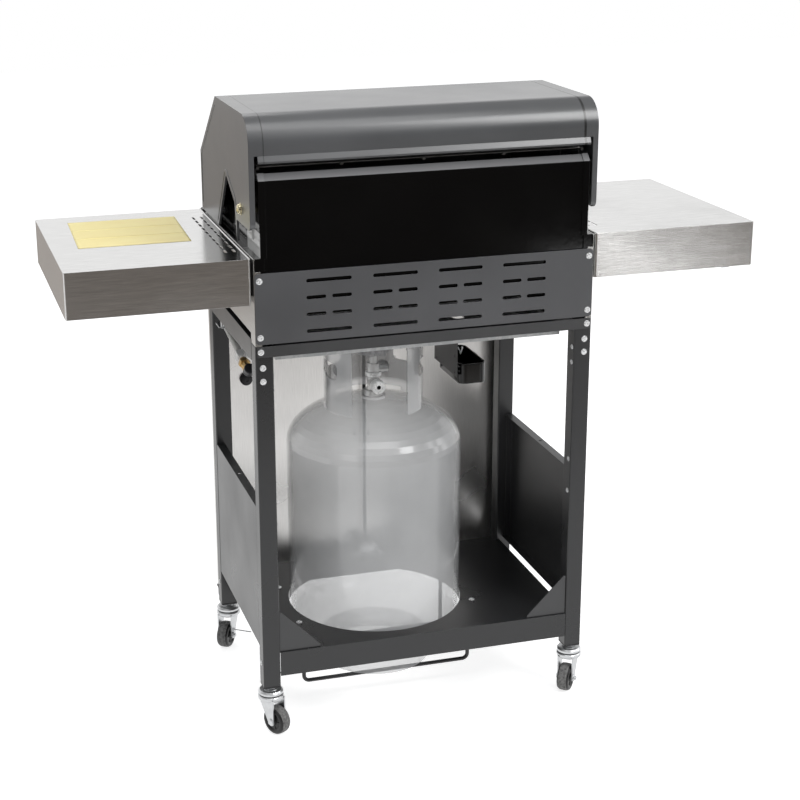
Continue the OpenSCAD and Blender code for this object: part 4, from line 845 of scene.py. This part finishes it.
# %% Find the plain heads: vertices that edges join share one root, and each root is one head
def loose_parts(obj):
    mesh = obj.data
    root = list(range(len(mesh.vertices)))

    def top(v):
        while root[v] != v:
            root[v] = root[root[v]]
            v = root[v]
        return v

    for edge in mesh.edges:
        a, b = (top(v) for v in edge.vertices)
        root[a] = b
    parts = {}
    for v in mesh.vertices:
        parts.setdefault(top(v.index), []).append(obj.matrix_world @ v.co)
    return list(parts.values())


# %% Read a plain head: it is thinnest along its axis, and its wider face touches the sheet
SAME_LEVEL, SAME_REACH = 1e-4, 1e-6


def plain_head(points):
    low = Vector([min(p[i] for p in points) for i in range(3)])
    high = Vector([max(p[i] for p in points) for i in range(3)])
    size, centre = high - low, (low + high) / 2
    thin = min(range(3), key=lambda i: size[i])
    reaches = []
    for end in (low, high):
        rim = [p for p in points if abs(p[thin] - end[thin]) < SAME_LEVEL]
        reaches.append(max((p - centre).length for p in rim))
    outward = Vector((0, 0, 0))
    outward[thin] = 1 if reaches[0] > reaches[1] + SAME_REACH else -1
    if abs(reaches[0] - reaches[1]) < SAME_REACH:
        outward[thin] = -1 if centre[thin] < 0 and thin < 2 else 1
    width = max(size[i] for i in range(3) if i != thin)
    return centre - outward * size[thin] / 2, outward, width / 2, size[thin]


# %% Turn a crossed head in the place of each plain one
screw_mesh = bmesh.new()
screw_parts = loose_parts(NODES["cart_screws"])
for points in screw_parts:
    screw_head(screw_mesh, *plain_head(points))
print("screws:", len(screw_parts))
# The second finish paints each cross recess near black as painted shade.
screws = finish_piece(screw_mesh, "cross_head_screws", "cart", [screw_plate, shade_and_plug_black], 50)
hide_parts("cart_screws")

# %% [markdown]
# ## Gas hose
# The hose is a smooth rubber tube that leaves the manifold, runs behind the panel, passes through the
# strap clip on the side rail and ends in its nut. Its route is the one in the construction model. The
# model's tube has few sides, so it is swept again here, round and a little thicker, as it is in the
# photograph.

# %% Hose
HOSE_ROUTE = [
    (-85, -214, 757), (-85, -214, 745), (-82, -214, 732), (-72, -214, 722), (-55, -214, 718), (-30, -214, 717),
    (10, -214, 717), (60, -214, 717), (110, -213, 717), (160, -211, 717), (205, -208, 717), (235, -203, 717),
    (255, -194, 716), (266, -180, 714), (270, -164, 709), (272, -150, 700), (273, -140, 688), (274, -132, 675),
    (275.5, -124, 664), (277, -112, 655), (277, -100, 652), (277, -88, 649), (277, -60, 643.5),
    (277, -40, 640), (277, -20, 636), (277, 0, 632),
]
HOSE_RADIUS = 6.3
hose_points = [at(*point) for point in HOSE_ROUTE]
hose_mesh = bmesh.new()
tube(hose_mesh, smooth_route(hose_points, 5), HOSE_RADIUS * MM, 20)
hose = finish_piece(hose_mesh, "rubber_gas_hose", "cart", [hose_rubber])
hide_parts("gas_hose")

# %% [markdown]
# The hose ends in a plated hexagon nut, a brass hexagon and a barbed stem, and a black cap closes the
# elbow below them. A hexagon is a lathe with six sides, so one helper turns them all, and the slot
# numbers give each stretch its finish: 0 is plate, 1 is brass and 2 is black plastic.

# %% Hose nut, brass stem and cap
NUT = [(5.2, 0), (10, 0), (11.4, 1.6), (11.4, 20), (10, 22), (6.5, 22)]
FERRULE = [(5.5, 21), (7.4, 21), (7.4, 23.5), (6.5, 24), (6.5, 30)]
BRASS_HEXAGON = [(6, 30), (9.4, 30), (10.2, 31.2), (10.2, 38.8), (9.4, 40), (6, 40)]
STEM = [(6.5, 40), (6.5, 42), (7.2, 43), (6.4, 44), (7.2, 45), (6.4, 46), (7.2, 47), (6.5, 48)]
STEM += [(6.5, 50), (8, 50.5), (8, 52), (5.5, 66), (0, 71)]
CAP = [(0, 0), (8.6, 0), (9.5, 1), (9.5, 4), (9, 4.6), (9, 5.4), (9.5, 6), (9.5, 14.6), (8.4, 16), (0, 16)]
CAP_ALONG, CAP_TURN = 66.3, math.radians(50)
HOSE_GAP = 0.3
hose_dir = (hose_points[-1] - hose_points[-2]).normalized()
hose_end = hose_points[-1] + hose_dir * HOSE_GAP * MM
fitting_mesh = bmesh.new()
lathe(fitting_mesh, NUT, hose_end, hose_dir, 6, [0] * 5)
lathe(fitting_mesh, FERRULE, hose_end, hose_dir, 32, [0, 0, 0, 1])
lathe(fitting_mesh, BRASS_HEXAGON, hose_end, hose_dir, 6, [1] * 5)
lathe(fitting_mesh, STEM, hose_end, hose_dir, 32, [1] * 12)
cap_angle = CAP_TURN - math.asin(-hose_dir.z)
cap_axis = Vector((0, math.cos(cap_angle), math.sin(cap_angle)))
lathe(fitting_mesh, CAP, hose_end + hose_dir * CAP_ALONG * MM, cap_axis, 32, [2] * 9)
fitting = finish_piece(fitting_mesh, "hose_nut_and_elbow", "cart", [nut_plate, brass, plastic])
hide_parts("hose_fitting")

# %% [markdown]
# ## Yellow sheet on the right shelf
# A thin blank sheet of yellow plastic film lies on the right shelf. It was folded twice, so two low
# ridges cross it, and its corners lift by a fraction of a millimetre. A cloth simulation could lay it
# down, but film this stiff hardly drapes, so its height is a sum of ridges, a slow wave and lifted edges.

# %% Height of the yellow sheet over the shelf
SHEET_CORNERS = [(539.5, -174.2), (546.7, 28.3), (359.3, 29.6), (351.9, -170.1)]
SHELF_TOP = 843
STEPS_LONG, STEPS_WIDE = 128, 48
CREASES, CREASE_HEIGHT, CREASE_SHARPNESS = (0.34, 0.67), 1.2, 90
LIES_AT, WAVE_HEIGHT, EDGE_LIFT, EDGE_WIDTH = 0.06, 0.25, 0.15, 0.08
WAVES_LONG, WAVES_WIDE, WAVE_START, RIM_FADE = 9, 7, 2, 12
SHEET_THICKNESS = 0.1


def sheet_lift(u, v):
    ridges = sum(CREASE_HEIGHT * math.exp(-(((u - c) * CREASE_SHARPNESS) ** 2)) for c in CREASES)
    crease = min(1, RIM_FADE * min(v, 1 - v)) * ridges
    wave = WAVE_HEIGHT * (1 + math.sin(WAVES_LONG * u + WAVE_START) * math.sin(WAVES_WIDE * v))
    edge = min(u, 1 - u, v, 1 - v)
    rim = EDGE_LIFT * max(0, EDGE_WIDTH - edge) / EDGE_WIDTH * (1 - 4 * u * (1 - u))
    return LIES_AT + crease + wave * min(1, edge * RIM_FADE) + rim


# %% Lay the sheet as a grid between its corners
corner_a, corner_b, corner_c, corner_d = (Vector((*c, 0)) for c in SHEET_CORNERS)
sheet_mesh = bmesh.new()
grid = []
for i in range(STEPS_LONG + 1):
    row = []
    for k in range(STEPS_WIDE + 1):
        u, v = i / STEPS_LONG, k / STEPS_WIDE
        flat = (corner_a.lerp(corner_b, u)).lerp(corner_d.lerp(corner_c, u), v)
        row.append(sheet_mesh.verts.new(at(flat.x, flat.y, SHELF_TOP + sheet_lift(u, v))))
    grid.append(row)
for i in range(STEPS_LONG):
    for k in range(STEPS_WIDE):
        sheet_mesh.faces.new((grid[i][k], grid[i + 1][k], grid[i + 1][k + 1], grid[i][k + 1]))
yellow_sheet = finish_piece(sheet_mesh, "blank_yellow_sheet", "cart", [yellow_film], 60)
thick = yellow_sheet.modifiers.new("thickness", "SOLIDIFY")
thick.thickness = SHEET_THICKNESS * MM
thick.offset = 1

# %% [markdown]
# ## Casters
# Each wheel is a grey rubber tyre on a black plastic hub. The tread is slightly crowned and has two
# shallow grooves, and the hub is dished between its rim and its boss and has five ribs. Half of the
# profile is written down and then mirrored, so that both sides are alike. A wheel turns about its own
# axle, so its place and its axle's direction are read from the joints. The axle is a bolt with a
# hexagon nut on one side of the fork and a round head on the other.

# %% Wheel profile and hub
WHEEL_PROFILE = [
    (3.7, -11.6), (6.6, -11.6), (7, -11), (7.6, -9), (14.5, -8.6), (16.6, -10.2), (18, -10.8), (20.2, -10.8),
    (22.6, -10), (24.1, -7.8), (24.75, -5.2), (24.3, -4.8), (24.3, -4.3), (24.85, -3.9), (25, 0),
]
WHEEL_PROFILE += [(r, -a) for r, a in WHEEL_PROFILE[-2::-1]]
TREAD_FROM, TREAD_TO = 9, 18
WHEEL_SLOTS = [0 if TREAD_FROM <= n <= TREAD_TO else 1 for n in range(len(WHEEL_PROFILE))]
RIBS, RIB_RADIUS, RIB_SIDE, RIB_ROUTE = 5, 1.1, 8.9, (7, 9, 12, 14.4)
AXLE_NUT, NUT_SIDE = [(0, 0), (6.6, 0), (6.6, 1.2), (5.8, 1.9), (0, 2.0)], 14.7


def wheel_with_hub(centre, axle):
    bm = bmesh.new()
    lathe(bm, WHEEL_PROFILE, centre, axle, 64, WHEEL_SLOTS, closed=True)
    for k in range(RIBS):
        outward = Matrix.Rotation(2 * math.pi * k / RIBS, 3, axle) @ axle.orthogonal().normalized()
        for sign in (-1, 1):
            foot = centre + axle * sign * RIB_SIDE * MM
            tube(bm, [foot + outward * r * MM for r in RIB_ROUTE], RIB_RADIUS * MM, 8, 1, False)
    return bm


# %% A wheel and its axle's ends for each caster
for corner in ("rear_right", "rear_left", "front_right", "front_left"):
    roll = JOINTS[f"{corner}_roll"]
    centre, axle = Vector(roll["pos_m"]), Vector(roll["axis"]).normalized()
    wheel_mesh = wheel_with_hub(centre, axle)
    wheel = finish_piece(wheel_mesh, f"tyre_and_hub_{corner}", roll["child"], [tread, hub_plastic], 40)
    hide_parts(f"wheel_{corner}")

    nut_mesh = bmesh.new()
    for sign, sides in ((-1, 6), (1, 28)):
        lathe(nut_mesh, AXLE_NUT, centre + axle * sign * NUT_SIDE * MM, axle * sign, sides)
    nuts = finish_piece(nut_mesh, f"axle_nut_{corner}", roll["parent"], [plated])

# %% [markdown]
# ## Door handles
# A polished bar stands on two posts in front of each door. Behind the sheet, a black plastic
# nut holds each post, and the photograph shows these nuts on the inside of the doors. The bar's place
# and length are measured from the construction model's handle, so that the pull fits its door.

# %% Door handles
BAR_FROM_FRONT, POST_FROM_END = 7, 18
DOOR_BEHIND = 9 + 0.3 + 1.2
POST_NUT = [(2.2, 0), (2.2, 1.5), (11.4, 1.5), (11.5, 3), (11.5, 7.5), (10.4, 9.6), (9, 10.3), (3.4, 10.5)]
POST_NUT += [(3.2, 9), (0, 9)]
for side_name in SIDES:
    low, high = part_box(f"door_handle_{side_name}")
    middle = (low + high) / 2
    bar_centre = Vector((middle.x, low.y + BAR_FROM_FRONT * MM, middle.z))
    half = (high.x - low.x) / 2 / MM
    door = (high.y - bar_centre.y) / MM - DOOR_BEHIND
    bar_end = [(0, half), (5.4, half), (6.5, half - 0.5), (7, half - 1.6)]
    bar = [(r, -a) for r, a in bar_end] + bar_end[::-1]
    post = [(5.5, 4), (5.5, door - 3), (6.2, door - 2.4), (6.2, door - 0.4)]
    nut = [(r, door + a) for r, a in POST_NUT]
    handle_mesh = bmesh.new()
    lathe(handle_mesh, bar, bar_centre, (1, 0, 0), 40)
    for sign in (-1, 1):
        foot = bar_centre + Vector((sign * (half - POST_FROM_END) * MM, 0, 0))
        lathe(handle_mesh, post, foot, (0, 1, 0), 32)
        lathe(handle_mesh, nut, foot, (0, 1, 0), 32, [0] + [1] * 8)
    handle = finish_piece(handle_mesh, f"door_pull_{side_name}", f"{side_name}_door", [tube_steel, plastic])
    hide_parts(f"door_handle_{side_name}")

# %% [markdown]
# ## Knob lines
# A white line on each knob's skirt shows where it points. It could be painted by a mask, but a thin
# inlaid bar keeps a crisp edge at any distance.

# %% Knob lines
KNOB_PLACES = {"right": 170, "centre": 0, "left": -170}
SKIRT_Y, KNOB_Z = -242.4, 775
LINE_OUTLINE = [(-0.7, 19.6), (-0.9, 22.9), (-0.6, 23.6), (0.6, 23.6), (0.9, 22.9), (0.7, 19.6)]
LINE_FRONT, LINE_BACK = -0.25, 0.2
for name, x in KNOB_PLACES.items():
    line_mesh = bmesh.new()
    foot = at(x, SKIRT_Y, KNOB_Z)
    front_loop = [line_mesh.verts.new(foot + Vector((u, LINE_FRONT, v)) * MM) for u, v in LINE_OUTLINE]
    back_loop = [line_mesh.verts.new(foot + Vector((u, LINE_BACK, v)) * MM) for u, v in LINE_OUTLINE]
    line_mesh.faces.new(front_loop)
    for k in range(len(LINE_OUTLINE)):
        m = (k + 1) % len(LINE_OUTLINE)
        line_mesh.faces.new((front_loop[k], front_loop[m], back_loop[m], back_loop[k]))
    finish_piece(line_mesh, f"knob_line_{name}", f"{name}_knob", [white_ink])

# %% [markdown]
# ## Temperature gauge
# The gauge sits square to the lid's sloping front. Its dial has ticks round three quarters of a turn
# and a red needle under a domed glass. A picture could show the dial, but ticks made as faces stay
# sharp. They are plain, without numbers. Everything is placed by radius, angle and height over the foot.

# %% Gauge dial
GAUGE_PLACE, GAUGE_TILT = (0, -143.9, 1000.9), math.radians(38.8)
DISC, BOSS = [(0, 6.45), (25.3, 6.45)], [(0, 7.6), (2, 7.5), (2.4, 7.0), (2.4, 6.5)]
LONG_TICK, SHORT_TICK, TICK_TAPER = (17.5, 0.034), (20.5, 0.018), 0.7
TICKS, SWEEP, FIRST_TICK = 28, math.radians(270), math.radians(135)
TICK_RADIUS, TICK_LIFT = 23.6, 6.6
NEEDLE_ANGLE, NEEDLE_LIFT, QUARTER, HALF_TURN = 2.4, 7.1, 1.57, 3.14
gauge_up = Vector((0, -math.sin(GAUGE_TILT), math.cos(GAUGE_TILT)))
gauge_side = Vector((1, 0, 0))
gauge_top = gauge_up.cross(gauge_side)
gauge_foot = at(*GAUGE_PLACE)


def on_dial(radius, angle, lift):
    spin = math.cos(angle) * gauge_side + math.sin(angle) * gauge_top
    return gauge_foot + (spin * radius + gauge_up * lift) * MM


def dial_face(bm, points, slot):
    bm.faces.new([bm.verts.new(point) for point in points]).material_index = slot


dial_mesh = bmesh.new()
lathe(dial_mesh, DISC, gauge_foot, gauge_up, 64, [0])
for k in range(TICKS):
    angle = FIRST_TICK - SWEEP * k / (TICKS - 1)
    inner, wide = LONG_TICK if k % 3 == 0 else SHORT_TICK
    inner_ends = [on_dial(inner, angle - wide, TICK_LIFT), on_dial(inner, angle + wide, TICK_LIFT)]
    outer_ends = [on_dial(TICK_RADIUS, angle + side * wide * TICK_TAPER, TICK_LIFT) for side in (-1, 1)]
    dial_face(dial_mesh, [inner_ends[0], *outer_ends, inner_ends[1]], 1)
needle = [(20, 0), (1.2, QUARTER), (6, HALF_TURN), (1.2, -QUARTER)]
dial_face(dial_mesh, [on_dial(r, NEEDLE_ANGLE + turn, NEEDLE_LIFT) for r, turn in needle], 2)
lathe(dial_mesh, BOSS, gauge_foot, gauge_up, 24, [1] * 3)
finish_piece(dial_mesh, "gauge_dial", "lid", [dial_white, plastic, needle_red])

# %% Gauge glass
GLASS = [(25.4, 7.7), (22, 8.0), (12, 8.25), (0, 8.3)]
glass_mesh = bmesh.new()
lathe(glass_mesh, GLASS, gauge_foot, gauge_up, 64)
finish_piece(glass_mesh, "gauge_glass", "lid", [dial_glass])

# %% [markdown]
# ## Valve outlet of the cylinder
# The valve's outlet has an outside thread for the hose nut, a bore painted near black as painted shade
# and a collar on its neck. A true thread is a spiral, but at this size a row of grooves looks the same
# and turns on the lathe.

# %% Valve outlet and its neck
OUTLET_Z = 560
THREAD_TURNS, THREAD_PITCH, THREAD_TOP = 8, 1.6, 33.6
thread = [(3.6, 34.6), (8.4, 35.2), (10.8, 35.2), (11.6, 34.4)]
for k in range(THREAD_TURNS):
    crest = THREAD_TOP - THREAD_PITCH * k
    thread += [(12.5, crest), (12.1, crest - THREAD_PITCH / 2)]
thread += [(12.0, 20), (11.9, 18)]
# The bore takes the near-black finish as painted shade.
bore = [(3.6, 34.6), (3.6, 26), (0, 25.9)]
neck = [(11.2, 12), (14, 13), (14.4, 15), (14.4, 18), (14, 20), (11.2, 21)]
outlet = at(CYLINDER_X, CYLINDER_Y, OUTLET_Z)
outlet_mesh = bmesh.new()
lathe(outlet_mesh, thread, outlet, (0, 1, 0), 48)
lathe(outlet_mesh, bore, outlet, (0, 1, 0), 32, [1, 1])
lathe(outlet_mesh, neck, outlet, (0, 0, 1), 48)
outlet_piece = finish_piece(outlet_mesh, "valve_outlet_thread", "cylinder", [nut_plate, shade_and_plug_black])

# %% [markdown]
# ## Clip at the grease cup
# A bright wire spring, bent into a V, holds the grease cup at its bracket. Six points and a smooth
# route through them bend it like wire round a peg.

# %% Cup spring
SPRING_ROUTE = [(-97.2, 60, 628), (-98.6, 61, 626.5), (-100, 71, 619.6)]
SPRING_ROUTE += [(-99.4, 73.5, 619.4), (-99, 83, 632), (-97.2, 84, 633.5)]
SPRING_RADIUS = 1.3
spring_mesh = bmesh.new()
tube(spring_mesh, smooth_route([at(*point) for point in SPRING_ROUTE]), SPRING_RADIUS * MM, 12)
spring = finish_piece(spring_mesh, "cup_spring", "cart", [plated])

# %% [markdown]
# ## Ridges and bolt heads on the lid's ends
# The pressed end caps carry low ridges: one along the sloping front and one round the notch that the
# spit drops into. A ridge is pressed from the sheet, so a thin rounded bar half sunk in the cap looks
# the same. The lid turns on two bolts with domed heads, plated yellow. They stay with the cart.

# %% Ridges on the lid's end caps
CAP_FACE, RIDGE_RADIUS = 294.2, 1.2
FRONT_RIDGE = [(-193, 862), (-193, 900), (-193, 935), (-193, 946)]
FRONT_RIDGE += [(-188, 953), (-150, 984), (-100, 1024), (-66, 1051)]
NOTCH_RIDGE = [(-64, 856), (-30, 904), (-4, 941), (3, 951), (13.5, 955), (24, 952)]
NOTCH_RIDGE += [(50, 938), (76, 924), (84, 915), (90, 898)]
for side_name, sign in SIDES.items():
    ridge_mesh = bmesh.new()
    for ridge in (FRONT_RIDGE, NOTCH_RIDGE):
        route = smooth_route([at(sign * CAP_FACE, y, z) for y, z in ridge], 5)
        tube(ridge_mesh, route, RIDGE_RADIUS * MM, 12)
    ridges = finish_piece(ridge_mesh, f"cap_ridges_{side_name}", "lid", [lid_graphite])

# %% Domed heads of the pivot bolts
BOLT_FOOT, BOLT_Y, BOLT_Z = 294.6, 120.5, 911
DOME = [(0, 6.9), (3, 6.7), (5.4, 6), (7, 5), (7.8, 4.2), (8.1, 3), (8.1, 0.9)]
DOME += [(9.6, 0.8), (9.9, 0.4), (9.9, 0.1), (7.6, 0.1)]
for side_name, sign in SIDES.items():
    dome_mesh = bmesh.new()
    lathe(dome_mesh, DOME, at(sign * BOLT_FOOT, BOLT_Y, BOLT_Z), (sign, 0, 0), 40)
    domes = finish_piece(dome_mesh, f"pivot_bolt_head_{side_name}", "cart", [pivot_plate])

# %% [markdown]
# ## Painted shade in the door gap, and plugs
# A thin black strip stands in the gap between the doors as painted shade, where the gap lies in
# shade. It is one outline drawn up the whole edge of the left door, with short steps at its ends so
# that the shading stays even. Black plugs fill the small holes near the closing edges.

# %% Painted shade strip on the left door's closing edge
GAP_SHADE_OUTLINE = [(-5.2, -206.2), (0.1, -206.2), (0.4, -204), (0.4, -197)]
GAP_SHADE_OUTLINE += [(-0.1, -193.0), (-0.9, -192.4), (-5.2, -192.4)]
GAP_SHADE_HEIGHTS = (114, 118, 400, 684, 688)
# The strip is painted shade: black where the gap between the doors lies in shade.
gap_shade_mesh = bmesh.new()
rows = [[gap_shade_mesh.verts.new(at(x, y, z)) for x, y in GAP_SHADE_OUTLINE] for z in GAP_SHADE_HEIGHTS]
for low_row, high_row in zip(rows, rows[1:]):
    for k in range(len(GAP_SHADE_OUTLINE) - 1):
        gap_shade_mesh.faces.new((low_row[k], low_row[k + 1], high_row[k + 1], high_row[k]))
gap_shade_mesh.faces.new(rows[0][::-1])
gap_shade_mesh.faces.new(rows[-1])
gap_shade_strip = finish_piece(gap_shade_mesh, "door_gap_shade_strip", "left_door", [shade_and_plug_black])

# %% Plugs in the small holes of the doors
PLUG = [(0, 1.3), (1.8, 1.1), (2.9, 0.4), (2.9, 0.02)]
PLUG_X, PLUG_Y, PLUG_HEIGHTS = 13.5, -206.3, (172, 387)
for side_name, sign in SIDES.items():
    plug_mesh = bmesh.new()
    for z in PLUG_HEIGHTS:
        lathe(plug_mesh, PLUG, at(sign * PLUG_X, PLUG_Y, z), (0, 1, 0), 24)
    plugs = finish_piece(plug_mesh, f"door_plugs_{side_name}", f"{side_name}_door", [shade_and_plug_black])

# %% [markdown]
# ## Square nut inside the right notch
# A bright square nut shows inside the right notch, where the spit would lie. It is a lathe with four
# sides, started an eighth of a turn on, so that its sides stand upright.

# %% Square nut
SQUARE_PLACE = (280.2, -72.8, 869.4)
SQUARE_NUT = [(0, 0.1), (5.4, 0.1), (5.6, 0.5), (5.6, 3.4), (5, 4), (2.4, 4), (2.4, 2.8), (0, 2.8)]
square_mesh = bmesh.new()
lathe(square_mesh, SQUARE_NUT, at(*SQUARE_PLACE), (1, 0, 0), 4, start=math.pi / 4)
square_nut = finish_piece(square_mesh, "spit_square_nut", "cart", [screw_plate], 20)
